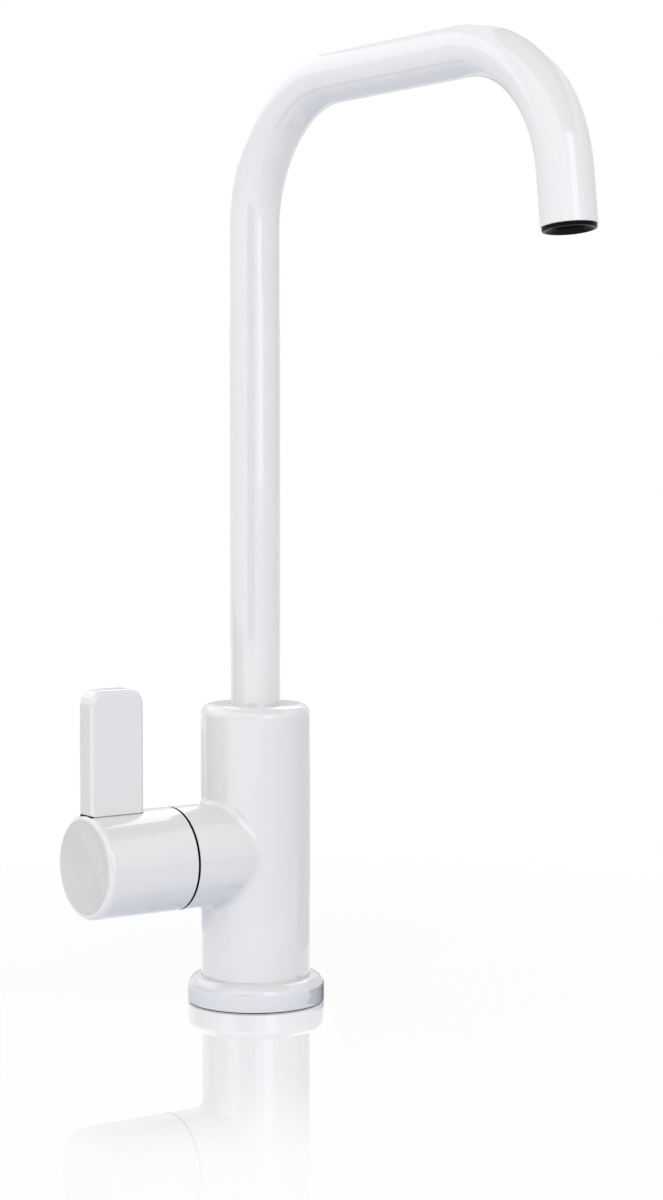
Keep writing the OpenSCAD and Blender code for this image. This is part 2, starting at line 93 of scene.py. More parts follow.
# %% [markdown]
# ## The camera
#
# A camera could be placed by eye, but a tall thin object shows every degree of error. This one comes
# from a fit to the outlines of the tap: it stands 0.81 m away at the front left, a little above the
# middle of the tap, with a lens of about 76 mm on a 36 mm sensor. It looks down by three degrees, so
# upright lines stay almost upright.

# %% Place the camera
camera_turn = math.radians(34.166)
camera_away = 810.4 * mm
camera_height = 175.3 * mm
look_right = math.radians(1.733)
look_down = math.radians(3.218)
lens_length = 75.70
sensor_width = 36.0
toward_camera = Vector((-math.sin(camera_turn), -math.cos(camera_turn), 0.0))
beside_camera = Vector((math.cos(camera_turn), -math.sin(camera_turn), 0.0))


def studio_camera():
    data = bpy.data.cameras.new("product_camera")
    data.lens = lens_length
    data.sensor_width = sensor_width
    data.clip_start = 0.01
    data.clip_end = 60.0
    camera = bpy.data.objects.new("product_camera", data)
    scene.collection.objects.link(camera)
    camera.location = toward_camera * camera_away + Vector((0.0, 0.0, camera_height))
    turn = look_right + camera_turn
    level = Vector((math.sin(turn), math.cos(turn), 0.0)) * math.cos(look_down)
    forward = level + Vector((0.0, 0.0, -math.sin(look_down)))
    camera.rotation_euler = forward.to_track_quat("-Z", "Y").to_euler()
    scene.camera = camera
    return camera


camera = studio_camera()
print("camera at", [round(v, 4) for v in camera.location])

# %% [markdown]
# ## Building materials from parts
#
# A material is a small network of nodes. Wiring nodes one call at a time is long-winded, so a few
# helpers keep it short: `add` places a node and sets its options, `fill` sets its inputs, and `wire`
# joins an output to an input. Every material starts empty and ends in one surface.

# %% Helpers for shader networks
number = "NodeSocketFloat"
whole_number = "NodeSocketInt"
colour = "NodeSocketColor"
vector = "NodeSocketVector"


def add(tree, kind, **options):
    node = tree.nodes.new(kind)
    for name, value in options.items():
        setattr(node, name, value)
    return node


def fill(node, **values):
    for name, value in values.items():
        node.inputs[name.replace("_", " ")].default_value = value
    return node


def wire(tree, source, output, target, entry):
    tree.links.new(source.outputs[output], target.inputs[entry])


def new_material(name):
    material = bpy.data.materials.new(name)
    material.use_nodes = True
    material.node_tree.nodes.clear()
    return material, material.node_tree


def to_surface(tree, source, output):
    wire(tree, source, output, add(tree, "ShaderNodeOutputMaterial"), "Surface")


print("sockets used:", number, whole_number, colour, vector)

# %% [markdown]
# ## The skin of a finish
#
# Enamel, rubber, moulded plastic and turned metal differ in what they are made of, but their surfaces
# have the same build: a faint cloudiness over centimetres, a fine grain under a millimetre, and a gloss
# that wanders a little. One node group holds that build, with inputs for its sizes and strengths. It
# reads Object coordinates, which are metres on this object, so a scale of 1000 means one wave in each
# millimetre. A Mix node keeps its colour sockets behind the ones for numbers, so they are picked by
# their place.

# %% The finish skin group
mix_first, mix_second, mix_result = 6, 7, 2
skin_inputs = [
    ("Colour", colour, (0.8, 0.8, 0.8, 1.0)), ("Cloud colour", colour, (0.75, 0.75, 0.75, 1.0)),
    ("Cloud scale", number, 30.0), ("Grain scale", number, 1200.0), ("Grain depth", number, 0.00001),
    ("Gloss low", number, 0.2), ("Gloss high", number, 0.3), ("Stretch", vector, (1.0, 1.0, 1.0)),
]
skin_outputs = [("Colour", colour), ("Roughness", number), ("Normal", vector)]


def build_skin_group():
    tree = bpy.data.node_groups.new("Finish skin", "ShaderNodeTree")
    for label, kind, value in skin_inputs:
        tree.interface.new_socket(name=label, in_out="INPUT", socket_type=kind).default_value = value
    for label, kind in skin_outputs:
        tree.interface.new_socket(name=label, in_out="OUTPUT", socket_type=kind)
    inputs = add(tree, "NodeGroupInput")
    outputs = add(tree, "NodeGroupOutput")
    place = add(tree, "ShaderNodeTexCoord")
    stretch = add(tree, "ShaderNodeVectorMath", operation="MULTIPLY")
    wire(tree, place, "Object", stretch, 0)
    wire(tree, inputs, "Stretch", stretch, 1)
    clouds = fill(add(tree, "ShaderNodeTexNoise"), Detail=3.0, Roughness=0.55)
    wire(tree, place, "Object", clouds, "Vector")
    wire(tree, inputs, "Cloud scale", clouds, "Scale")
    spread = fill(add(tree, "ShaderNodeMapRange"), From_Min=0.35, From_Max=0.65)
    wire(tree, clouds, "Fac", spread, "Value")
    tint = add(tree, "ShaderNodeMix", data_type="RGBA")
    wire(tree, spread, "Result", tint, "Factor")
    wire(tree, inputs, "Colour", tint, mix_first)
    wire(tree, inputs, "Cloud colour", tint, mix_second)
    grain = fill(add(tree, "ShaderNodeTexNoise"), Detail=2.0, Roughness=0.5)
    wire(tree, stretch, "Vector", grain, "Vector")
    wire(tree, inputs, "Grain scale", grain, "Scale")
    gloss = fill(add(tree, "ShaderNodeMapRange"), From_Min=0.3, From_Max=0.7)
    wire(tree, grain, "Fac", gloss, "Value")
    wire(tree, inputs, "Gloss low", gloss, "To Min")
    wire(tree, inputs, "Gloss high", gloss, "To Max")
    relief = fill(add(tree, "ShaderNodeBump"), Strength=1.0)
    wire(tree, grain, "Fac", relief, "Height")
    wire(tree, inputs, "Grain depth", relief, "Distance")
    wire(tree, tint, mix_result, outputs, "Colour")
    wire(tree, gloss, "Result", outputs, "Roughness")
    wire(tree, relief, "Normal", outputs, "Normal")
    return tree


skin_group = build_skin_group()
print("group sockets:", [s.name for s in skin_group.interface.items_tree])

# %% [markdown]
# ## The finishes
#
# Each material places the skin group with its own numbers and feeds a Principled BSDF. What is the same
# all over a surface, such as the clear coat of the enamel, is set straight on the shader. The cap's
# enamel is duller than the rest, and its colour is the white enamel painted darker and warmer, as
# painted shade on the end of the handle. Brass shows turning marks, so its grain is drawn out round the
# axis. The black of the seams has next to no gloss, so that it reads as the shade of a deep gap: on the
# seal and the glide ring it is their own black with painted shade, and in the gap under the lever it is
# painted shadow alone.

# %% Mix the finishes


def finish(name, base, cloud, cloud_scale, grain_scale, grain_depth, gloss, stretch=(1, 1, 1), metal=0.0,
           coat=0.0, index=1.5, coat_index=1.5):
    material, tree = new_material(name)
    skin = add(tree, "ShaderNodeGroup", node_tree=skin_group)
    fill(skin, Colour=(*base, 1.0), Cloud_colour=(*cloud, 1.0), Cloud_scale=cloud_scale, Stretch=stretch)
    fill(skin, Grain_scale=grain_scale, Grain_depth=grain_depth, Gloss_low=gloss[0], Gloss_high=gloss[1])
    shader = fill(add(tree, "ShaderNodeBsdfPrincipled"), Metallic=metal, IOR=index)
    fill(shader, Coat_Weight=coat, Coat_Roughness=0.03, Coat_IOR=coat_index)
    for output, entry in (("Colour", "Base Color"), ("Roughness", "Roughness"), ("Normal", "Normal")):
        wire(tree, skin, output, shader, entry)
    to_surface(tree, shader, "BSDF")
    return material


enamel = finish("white_enamel", (0.715, 0.714, 0.720), (0.702, 0.701, 0.707), cloud_scale=26.0,
                grain_scale=1500.0, grain_depth=2e-6, gloss=(0.10, 0.15), coat=1.0, index=1.6,
                coat_index=1.75)
# Painted shade: the cap is the same white enamel, painted darker and warmer.
cap_enamel = finish("cap_enamel", (0.645, 0.642, 0.625), (0.615, 0.612, 0.595), cloud_scale=90.0,
                    grain_scale=2600.0, grain_depth=4e-6, gloss=(0.16, 0.24), coat=0.2)
black_rubber = finish("black_rubber", (0.016, 0.016, 0.018), (0.024, 0.024, 0.025), cloud_scale=120.0,
                      grain_scale=3000.0, grain_depth=2e-5, gloss=(0.62, 0.82))
# The seal's and glide ring's own black, with next to no gloss so that it also paints the shade of gaps.
black_and_gap_shade = finish("black_and_gap_shade", (0.002, 0.002, 0.004), (0.003, 0.003, 0.006), cloud_scale=120.0,
                    grain_scale=3000.0, grain_depth=1e-5, gloss=(0.6, 0.8), index=1.05)
black_plastic = finish("black_plastic", (0.004, 0.004, 0.005), (0.006, 0.006, 0.007), cloud_scale=160.0,
                       grain_scale=5000.0, grain_depth=6e-6, gloss=(0.16, 0.26), index=1.12)
pale_plastic = finish("pale_plastic", (0.72, 0.71, 0.66), (0.68, 0.67, 0.61), cloud_scale=120.0,
                      grain_scale=3500.0, grain_depth=6e-6, gloss=(0.38, 0.5))
brass = finish("turned_brass", (0.62, 0.44, 0.18), (0.54, 0.37, 0.14), cloud_scale=60.0, grain_scale=900.0,
               grain_depth=5e-6, gloss=(0.22, 0.38), stretch=(0.15, 0.15, 5.0), metal=1.0)
steel = finish("plain_steel", (0.55, 0.55, 0.56), (0.48, 0.48, 0.49), cloud_scale=80.0, grain_scale=1400.0,
               grain_depth=4e-6, gloss=(0.26, 0.42), metal=1.0)
ceramic = finish("lapped_ceramic", (0.80, 0.79, 0.75), (0.77, 0.76, 0.71), cloud_scale=140.0,
                 grain_scale=6000.0, grain_depth=1e-6, gloss=(0.10, 0.18))
print("finishes:", [m.name for m in bpy.data.materials if m.node_tree])

# %% [markdown]
# The solids get these finishes now. Seals, screws, discs and the other pieces that a buyer only sees
# with the tap in parts keep their own shape, and the rest are hidden later by the pieces that stand for
# them.

# %% Dress the solids
solid_finish = {
    black_rubber: ["base_seal", "tail_o_ring", "deck_rubber_washer", "cartridge_o_ring", "seat_seal",
                   "spout_o_rings", "outlet_o_ring", "spindle_o_ring"],
    black_plastic: ["outlet_insert", "flow_straightener", "handle_glide_ring"],
    pale_plastic: ["spout_glide_rings"],
    brass: ["threaded_tail", "back_nut", "cartridge_housing", "gland_nut", "spout_spigot", "valve_spindle"],
    steel: ["deck_steel_washer", "spout_keeper_screw", "handle_screw", "lever_set_screw",
            "spindle_circlip"],
    ceramic: ["fixed_ceramic_disc", "moving_ceramic_disc"],
    enamel: ["tap_body", "base_flange", "spout_tube", "handle_barrel", "lever_blade"],
    cap_enamel: ["handle_end_cap"],
}
for material, names in solid_finish.items():
    for name in names:
        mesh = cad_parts[name].data
        mesh.materials.clear()
        mesh.materials.append(material)
print("dressed:", sum(len(names) for names in solid_finish.values()), "of", len(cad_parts))

# %% [markdown]
# ## Finishing a piece
#
# Every rebuilt piece ends the same way. Doubled points are merged, faces are turned outwards, and the
# Weighted Normal modifier lets the large faces decide the shading, so a small edge radius shows as one
# clean highlight. The result becomes a plain mesh at the origin, rides on its body and stands for its
# solid.

# %% The last steps of every piece
merge_within = 0.002
sharp_from = math.radians(50.0)


def placed(name, mesh):
    piece = bpy.data.objects.new(name, mesh)
    scene.collection.objects.link(piece)
    return piece


def smooth_mesh(bm):
    bmesh.ops.remove_doubles(bm, verts=bm.verts, dist=merge_within * mm)
    bmesh.ops.recalc_face_normals(bm, faces=bm.faces)
    for face in bm.faces:
        face.smooth = True
    for edge in bm.edges:
        edge.smooth = not (len(edge.link_faces) == 2 and edge.calc_face_angle() > sharp_from)


def even_shading(piece, keep_sharp):
    shading = piece.modifiers.new("Even shading", "WEIGHTED_NORMAL")
    shading.keep_sharp = keep_sharp
    shading.weight = 80


def plain_mesh(piece):
    bpy.context.view_layer.update()
    evaluated = piece.evaluated_get(bpy.context.evaluated_depsgraph_get())
    mesh = bpy.data.meshes.new_from_object(evaluated)
    mesh.name = piece.name
    piece.modifiers.clear()
    piece.data = mesh
    return piece


def hand_over(piece, body, node):
    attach(piece, body)
    if node:
        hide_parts(node)
    print(piece.name, "faces:", len(piece.data.polygons))


def piece_from(bm, name, material, body, node):
    smooth_mesh(bm)
    mesh = bpy.data.meshes.new(name)
    bm.to_mesh(mesh)
    bm.free()
    mesh.materials.append(material)
    piece = placed(name, mesh)
    even_shading(piece, True)
    hand_over(plain_mesh(piece), body, node)


print("edges are sharp from", round(math.degrees(sharp_from)), "degrees")

# %% [markdown]
# ## Turned pieces
#
# The flange, the seal, the barrel, its cap and the outlet come off a lathe, so each is one outline
# turned about an axis. An outline is a list of corners, and each corner has its own edge radius, as a
# drawing gives it. Real edges are never perfectly sharp, and these small radii are what catches the
# light.

# %% A lathe with edge radii
upright = Matrix.Diagonal((mm, mm, mm, 1.0))
steps_per_mm = 4
large_sides = 128
small_sides = 96


def outline_with_radii(corners, closed, steps=5):
    points = []
    count = len(corners)
    for i, (r, z, radius) in enumerate(corners):
        here = Vector((r, z))
        if radius == 0 or (not closed and i in (0, count - 1)):
            points.append(here)
            continue
        before = (Vector(corners[i - 1][:2]) - here).normalized()
        after = (Vector(corners[(i + 1) % count][:2]) - here).normalized()
        half = before.angle(after) / 2
        middle = here + (before + after).normalized() * (radius / math.sin(half))
        first = here + before * (radius / math.tan(half)) - middle
        last = here + after * (radius / math.tan(half)) - middle
        start = math.atan2(first.y, first.x)
        sweep = (math.atan2(last.y, last.x) - start + math.pi) % (2 * math.pi) - math.pi
        steps_here = max(steps, int(radius * steps_per_mm))
        for k in range(steps_here + 1):
            angle = start + sweep * k / steps_here
            points.append(middle + Vector((math.cos(angle), math.sin(angle))) * radius)
    return points


def turned(points, closed, place, sides):
    bm = bmesh.new()
    turns = [2 * math.pi * k / sides for k in range(sides)]
    rings = []
    for r, z in points:
        spots = [Vector((0, 0, z))]
        if r > 1e-6:
            spots = [Vector((r * math.cos(t), r * math.sin(t), z)) for t in turns]
        rings.append([bm.verts.new(place @ spot) for spot in spots])
    pairs = list(zip(rings, rings[1:]))
    if closed:
        pairs.append((rings[-1], rings[0]))
    for low, high in pairs:
        for k in range(sides):
            n = (k + 1) % sides
            corners = [low[k % len(low)], low[n % len(low)], high[n % len(high)], high[k % len(high)]]
            face = list(dict.fromkeys(corners))
            if len(face) > 2:
                bm.faces.new(face)
    return bm


def lathe_piece(name, corners, place, material, body, node, closed=True, sides=large_sides):
    points = outline_with_radii(corners, closed)
    piece_from(turned(points, closed, place, sides), name, material, body, node)


sample = outline_with_radii([(0, 0, 0), (2, 0, 1), (2, 2, 0)], closed=False)
print("a corner with a radius of 1 mm gets", len(sample) - 2, "points")

# %% [markdown]
# ## Base flange and seal
#
# The flange is a low brass ring with a full round shoulder, enamelled white. Under it lies a rubber
# seal. The tap's clamp squeezes its edge outwards, and this thin lip shows as a dark line all round the
# foot.

# %% Flange and seal
flange_low, flange_high = extent("base_flange")
column_low, column_high = extent("tap_body")
seal_high = extent("base_seal")[1]
tail_low, tail_high = extent("threaded_tail")
flange_r = flange_high.x
flange_round = 3.5
seal_r = seal_high.x
seal_pocket = seal_r + seat_gap
seat_r = column_high.x + seat_gap
tail_r = tail_high.x
shank_r = tail_r + slide_gap
lathe_piece("flange_ring", [
    (shank_r, seal_high.z, 0), (seal_pocket, seal_high.z, 0), (seal_pocket, flange_low.z, 0),
    (flange_r, flange_low.z, 0.3), (flange_r, flange_high.z, flange_round), (seat_r, flange_high.z, 0.05),
    (seat_r, column_low.z, 0), (shank_r, column_low.z, 0),
], upright, enamel, "tap", "base_flange")
seal_hole = shank_r + 0.8
squeezed_r = seal_r + 0.6
squeezed_top = flange_low.z - 0.02
# The seal's black is its own, and its lack of gloss also paints the shade under the flange.
lathe_piece("foot_seal", [
    (seal_hole, 0, 0.2), (squeezed_r, 0, 0.05), (squeezed_r, squeezed_top, 0.05), (seal_r, squeezed_top, 0),
    (seal_r, seal_high.z, 0), (seal_hole, seal_high.z, 0),
], upright, black_and_gap_shade, "tap", "base_seal")

# %% [markdown]
# ## Column and boss
#
# On the real tap the boss grows out of the column through a soft fillet, as if a ball had rolled along
# the corner. A Boolean and a Bevel would leave uneven faces there, and gloss shows every one of them.
# The fillet follows a rule instead: the middle of the ball stays its own radius outside both round
# surfaces, so its path, and the two lines where it touches column and boss, can be written down. The
# ball grows from 1.6 mm on top and below to 5 mm at the sides. There the boss is also drawn in by 1.1 mm
# next to the column, so the sides flow more than the top.

# %% The path of the ball
barrel_low, barrel_high = extent("handle_barrel")
column_r = column_high.x
boss_end = -column_low.x
boss_r = barrel_high.y
boss_flat = 1.1
blend_least = 1.6
blend_most = 5.0
valve_z = (barrel_low.z + barrel_high.z) / 2


def blend_at(a):
    return blend_least + (blend_most - blend_least) * (1 - math.cos(a) ** 4)


def boss_drawn_in(a):
    return boss_flat * math.sin(a) ** 4


def ball_centre(a):
    reach = boss_r - boss_drawn_in(a) + blend_at(a)
    y = reach * math.sin(a)
    x = -math.sqrt((column_r + blend_at(a)) ** 2 - y * y)
    return Vector((x, y, valve_z + reach * math.cos(a)))


for side, a in (("top", 0), ("side", math.pi / 2)):
    print(side, "ball:", blend_at(a), "mm, at", [round(v, 2) for v in ball_centre(a)])

# %% [markdown]
# The column's faces are laid out in turn and height. The rows lie close together where a window is left
# out: a large one for the boss, and a small one at the back for the screw that keeps the spout in.

# %% Rows and windows of the column
keeper_low, keeper_high = extent("spout_keeper_screw")
keeper_z = (keeper_low.z + keeper_high.z) / 2
column_top = column_high.z
column_foot = column_low.z
column_round = 3.5
around = 96
front, back = around // 4, 3 * around // 4
row = 2
boss_rows = 12
keeper_rows = 2
keeper_columns = 4
foot_rows = [10, 15, 20]
top_rows = [86, 90]
heights = [column_foot, *foot_rows]
heights += [valve_z + row * k for k in range(-boss_rows, boss_rows + 1)]
heights += [keeper_z + row * k for k in range(-keeper_rows, keeper_rows + 1)]
heights += [*top_rows, column_top - column_round]
turn_of = [(i - around / 2) * 2 * math.pi / around for i in range(around)]
boss_row = heights.index(valve_z)
keeper_row = heights.index(keeper_z)
boss_window = (front, back, boss_row - boss_rows, boss_row + boss_rows)
keeper_window = (back - keeper_columns, back + keeper_columns,
                 keeper_row - keeper_rows, keeper_row + keeper_rows)
print("rows of the column:", len(heights), "windows:", boss_window, keeper_window)

# %% [markdown]
# A window is joined to what fills it in two moves. Its square border is first eased into the outline of
# the hole, ring by ring and always on the column's own surface. From there each further ring of points
# is bridged to the one before it, up the fillet, along the boss and into its mouth. The first two points
# of the mouth's outline lie on rings that are there already, so it goes on from the third.

# %% Rings that grow out of a window


def on_column(turn, z):
    return Vector((-column_r * math.cos(turn), column_r * math.sin(turn), z))


def window_border(i0, i1, j0, j1):
    border = [(i, j0) for i in range(i0, i1)] + [(i1, j) for j in range(j0, j1)]
    border += [(i, j1) for i in range(i1, i0, -1)] + [(i0, j) for j in range(j1, j0, -1)]
    return border


def ring_of(bm, points):
    return [bm.verts.new(Vector(p) * mm) for p in points]


def bridge(bm, first, second):
    count = len(first)
    for k in range(count):
        bm.faces.new([first[k], first[(k + 1) % count], second[(k + 1) % count], second[k]])


def next_ring(bm, ring, points):
    after = ring_of(bm, points)
    bridge(bm, ring, after)
    return after


def ease_rings(bm, border, grid, hole, steps):
    ring = [grid[p] for p in border]
    for k in range(1, steps + 1):
        t = k / steps
        points = []
        for (i, j), (turn, z) in zip(border, hole):
            eased_turn = turn_of[i] + (turn - turn_of[i]) * t
            points.append(on_column(eased_turn, heights[j] + (z - heights[j]) * t))
        ring = next_ring(bm, ring, points)
    return ring


print("points round the windows:", len(window_border(*boss_window)), len(window_border(*keeper_window)))

# %% The boss
ease_steps = 5
fillet_steps = 7
boss_steps = 8
boss_half = boss_rows * row
boss_edge = 0.12
boss_mouth_r = 11.5
boss_mouth_floor = 19.25


def add_boss(bm, grid):
    border = window_border(*boss_window)
    angles = [math.atan2(turn_of[i] / (math.pi / 2), (heights[j] - valve_z) / boss_half) for i, j in border]
    centres = [ball_centre(a) for a in angles]
    hole = [(math.asin(c.y / c.xy.length), c.z) for c in centres]
    ring = ease_rings(bm, border, grid, hole, ease_steps)
    for k in range(1, fillet_steps + 1):
        points = []
        for a, c in zip(angles, centres):
            to_column = -Vector((c.x, c.y, 0)).normalized()
            to_boss = Vector((0, -math.sin(a), -math.cos(a)))
            points.append(c + to_column.slerp(to_boss, k / fillet_steps) * blend_at(a))
        ring = next_ring(bm, ring, points)
    for k in range(1, boss_steps + 1):
        t = k / boss_steps
        points = []
        for a, c in zip(angles, centres):
            x = c.x + (boss_edge - boss_end - c.x) * t
            r = boss_r - boss_drawn_in(a) * (1 - t) ** 2
            points.append((x, r * math.sin(a), valve_z + r * math.cos(a)))
        ring = next_ring(bm, ring, points)
    mouth = outline_with_radii([
        (boss_r, boss_end - 2, 0), (boss_r, boss_end, boss_edge), (boss_mouth_r, boss_end, 0.2),
        (boss_mouth_r, boss_mouth_floor, 0),
    ], closed=False)
    for r, u in mouth[2:]:
        ring = next_ring(bm, ring, [(-u, r * math.sin(a), valve_z + r * math.cos(a)) for a in angles])
    bm.faces.new(ring)


print("rings of the boss before its mouth:", ease_steps + fillet_steps + boss_steps)

# %% [markdown]
# The hole for the keeper screw starts from its window in the same way and ends in a flat floor. The
# column's top edge is rounded, with a socket for the tube inside it, and its foot has a bore for the
# tail.

# %% The keeper's hole and the ends
keeper_r = keeper_high.x + seat_gap
keeper_half = keeper_rows * row
keeper_ease_steps = 3
keeper_floor = 9.0


def add_keeper_hole(bm, grid):
    border = window_border(*keeper_window)
    middle = turn_of[back]
    half_turn = turn_of[back + keeper_columns] - middle
    hole = []
    for i, j in border:
        a = math.atan2((turn_of[i] - middle) / half_turn, (heights[j] - keeper_z) / keeper_half)
        turn = middle + math.asin(keeper_r * math.sin(a) / column_r)
        hole.append((turn, keeper_z + keeper_r * math.cos(a)))
    ring = ease_rings(bm, border, grid, hole, keeper_ease_steps)
    ring = next_ring(bm, ring, [(-column_r * math.cos(turn), keeper_floor, z) for turn, z in hole])
    bm.faces.new(ring)


def add_end(bm, ring, outline):
    for r, z in outline:
        ring = next_ring(bm, ring, [(-r * math.cos(t), r * math.sin(t), z) for t in turn_of])
    bm.faces.new(ring)


print("keeper's hole:", round(2 * keeper_r, 2), "mm wide, at a height of", round(keeper_z, 2), "mm")

# %% Put the column together
tube_low, tube_high = extent("spout_tube")
tube_r = tube_high.x
socket_r = tube_r + seat_gap
socket_floor = extent("spout_spigot")[0].z - slide_gap
thread_gap = 0.1
tail_bore = tail_r + thread_gap
tail_bore_end = 21.65


def column_with_boss():
    bm = bmesh.new()
    last = len(heights) - 1
    grid = {}
    for j, z in enumerate(heights):
        for i in range(around):
            grid[i, j] = bm.verts.new(on_column(turn_of[i], z) * mm)
    for j in range(last):
        for i in range(around):
            if any(w[0] <= i < w[1] and w[2] <= j < w[3] for w in (boss_window, keeper_window)):
                continue
            n = (i + 1) % around
            bm.faces.new([grid[i, j], grid[n, j], grid[n, j + 1], grid[i, j + 1]])
    add_boss(bm, grid)
    add_keeper_hole(bm, grid)
    top = outline_with_radii([
        (column_r, column_top - 6, 0), (column_r, column_top, column_round), (socket_r, column_top, 0.15),
        (socket_r, socket_floor, 0),
    ], closed=False, steps=8)
    add_end(bm, [grid[i, last] for i in range(around)], top[2:])
    add_end(bm, [grid[i, 0] for i in range(around)], [(tail_bore, column_foot), (tail_bore, tail_bore_end)])
    return bm


piece_from(column_with_boss(), "column", enamel, "tap", "tap_body")

# %% [markdown]
# ## Pieces from node trees
#
# Two pieces follow a path by a rule: the bent tube, and the thread on the tail. Geometry Nodes suit
# both, because a tree keeps the rule apart from the sizes. Each tree has one geometry and some named
# sizes as its inputs, and ends in Realize Instances and Set Material, so that what comes out is plain
# geometry with its finish. A modifier's input is set by the socket's identifier, which the tree gives
# when the socket is made.

# %% Helpers for node trees


def sized_tree(name, entry, sizes, result):
    tree = bpy.data.node_groups.new(name, "GeometryNodeTree")
    tree.is_modifier = True
    sockets = tree.interface
    sockets.new_socket(name=entry, in_out="INPUT", socket_type="NodeSocketGeometry")
    ids = {}
    for label, kind in {**sizes, "Finish": "NodeSocketMaterial"}.items():
        ids[label] = sockets.new_socket(name=label, in_out="INPUT", socket_type=kind).identifier
    sockets.new_socket(name=result, in_out="OUTPUT", socket_type="NodeSocketGeometry")
    return tree, ids, add(tree, "NodeGroupInput")


def end_tree(tree, inputs, source, output, result):
    real = add(tree, "GeometryNodeRealizeInstances")
    coat = add(tree, "GeometryNodeSetMaterial")
    wire(tree, source, output, real, "Geometry")
    wire(tree, real, "Geometry", coat, "Geometry")
    wire(tree, inputs, "Finish", coat, "Material")
    wire(tree, coat, "Geometry", add(tree, "NodeGroupOutput"), result)


def grow(piece, tree, ids, values):
    maker = piece.modifiers.new(tree.name, "NODES")
    maker.node_group = tree
    for label, value in values.items():
        maker[ids[label]] = value


print("tree helpers:", [helper.__name__ for helper in (sized_tree, end_tree, grow)])

# %% [markdown]
# ## The spout
#
# The spout is one tube with two bends of the same radius. A tube bender works from the corners of the
# route and a bend radius, and Geometry Nodes can do the same: Fillet Curve rounds the corners, and Curve
# to Mesh carries a circle along the route. Solidify then gives the wall its thickness, inwards, so the
# faces have to point outwards first. Bevel breaks the edges of the cut ends.

# %% The bent tube as a node tree


def bent_tube_tree():
    sizes = {"Bend radius": number, "Bend steps": whole_number, "Tube radius": number,
             "Sides": whole_number}
    tree, ids, inputs = sized_tree("Bent tube", "Route", sizes, "Tube")
    route = add(tree, "GeometryNodeMeshToCurve")
    bends = add(tree, "GeometryNodeFilletCurve", mode="POLY")
    circle = add(tree, "GeometryNodeCurvePrimitiveCircle")
    sweep = add(tree, "GeometryNodeCurveToMesh")
    smooth = add(tree, "GeometryNodeSetShadeSmooth")
    wire(tree, inputs, "Route", route, "Mesh")
    wire(tree, route, "Curve", bends, "Curve")
    wire(tree, inputs, "Bend radius", bends, "Radius")
    wire(tree, inputs, "Bend steps", bends, "Count")
    wire(tree, inputs, "Sides", circle, "Resolution")
    wire(tree, inputs, "Tube radius", circle, "Radius")
    wire(tree, bends, "Curve", sweep, "Curve")
    wire(tree, circle, "Curve", sweep, "Profile Curve")
    wire(tree, sweep, "Mesh", smooth, "Geometry")
    end_tree(tree, inputs, smooth, "Geometry", "Tube")
    return tree, ids


tube_tree, tube_ids = bent_tube_tree()
print("sizes of the tube:", list(tube_ids))

# %% Bend the spout
tube_wall = 1.5
tube_edge = 0.22
bend_r = 43.5
arm_z = tube_high.z - tube_r
arm_reach = 145.0
leg_lean = math.radians(7.0)
leg_len = 53.6
out_of_tube = Vector((0, -math.sin(leg_lean), -math.cos(leg_lean)))
outlet_point = Vector((0, -arm_reach, arm_z)) + out_of_tube * leg_len
spout_route = [(0, 0, tube_low.z), (0, 0, arm_z), (0, -arm_reach, arm_z), outlet_point]


def along_route(name, points, tree, ids, values):
    mesh = bpy.data.meshes.new(name)
    mesh.from_pydata([Vector(p) * mm for p in points], [(k, k + 1) for k in range(len(points) - 1)], [])
    piece = placed(name, mesh)
    grow(piece, tree, ids, values)
    return plain_mesh(piece)


def face_outwards(piece, inside):
    bm = bmesh.new()
    bm.from_mesh(piece.data)
    bmesh.ops.recalc_face_normals(bm, faces=bm.faces)
    near = min(bm.faces, key=lambda f: (f.calc_center_median() - inside).length)
    if near.normal.dot(near.calc_center_median() - inside) < 0:
        bmesh.ops.reverse_faces(bm, faces=bm.faces)
    bm.to_mesh(piece.data)
    bm.free()


def give_wall(piece, thickness, edge):
    wall = piece.modifiers.new("Wall", "SOLIDIFY")
    wall.thickness = thickness * mm
    wall.offset = -1.0
    rims = piece.modifiers.new("Broken edges", "BEVEL")
    rims.width = edge * mm
    rims.segments = 3
    rims.limit_method = "ANGLE"
    rims.angle_limit = sharp_from
    even_shading(piece, False)
    return plain_mesh(piece)


tube_values = {"Bend radius": bend_r * mm, "Bend steps": 36, "Tube radius": tube_r * mm, "Sides": 72,
               "Finish": enamel}
tube = along_route("spout_pipe", spout_route, tube_tree, tube_ids, tube_values)
face_outwards(tube, Vector((0, 0, arm_z / 2)) * mm)
hand_over(give_wall(tube, tube_wall, tube_edge), "spout", "spout_tube")
print("outlet at", [round(v, 2) for v in outlet_point])

# %% [markdown]
# ## The outlet
#
# A black moulded insert sits in the end of the tube. Its lip stands a millimetre below the white rim,
# and a tapered mouth leads to the throat, behind which the flow straightener's holes can be seen from
# below. It is turned on the leg's own axis, which leans forwards by seven degrees.

# %% Turn the outlet
lip_r = 7.6
lip_h = 1.1
mouth_r = 6.85
throat_r = 4.95
throat_z = -0.1
insert_r = 6.42
insert_top = -9.0
bore_r = 4.5
bore_z = -1.0
pocket_r = 5.0
pocket_low, pocket_high = -2.2, -5.25
lean = out_of_tube.to_track_quat("Z", "X").to_matrix().to_4x4()
at_outlet = Matrix.Translation(outlet_point * mm) @ lean @ upright
lathe_piece("outlet_lip", [
    (bore_r, insert_top, 0.2), (insert_r, insert_top, 0.3), (insert_r, seat_gap, 0), (lip_r, seat_gap, 0.1),
    (lip_r, lip_h, 0.35), (mouth_r, lip_h, 0.12), (throat_r, throat_z, 0.3), (bore_r, bore_z, 0.15),
    (bore_r, pocket_low, 0), (pocket_r, pocket_low, 0), (pocket_r, pocket_high, 0),
    (bore_r, pocket_high, 0),
], at_outlet, black_plastic, "spout", "outlet_insert", sides=small_sides)

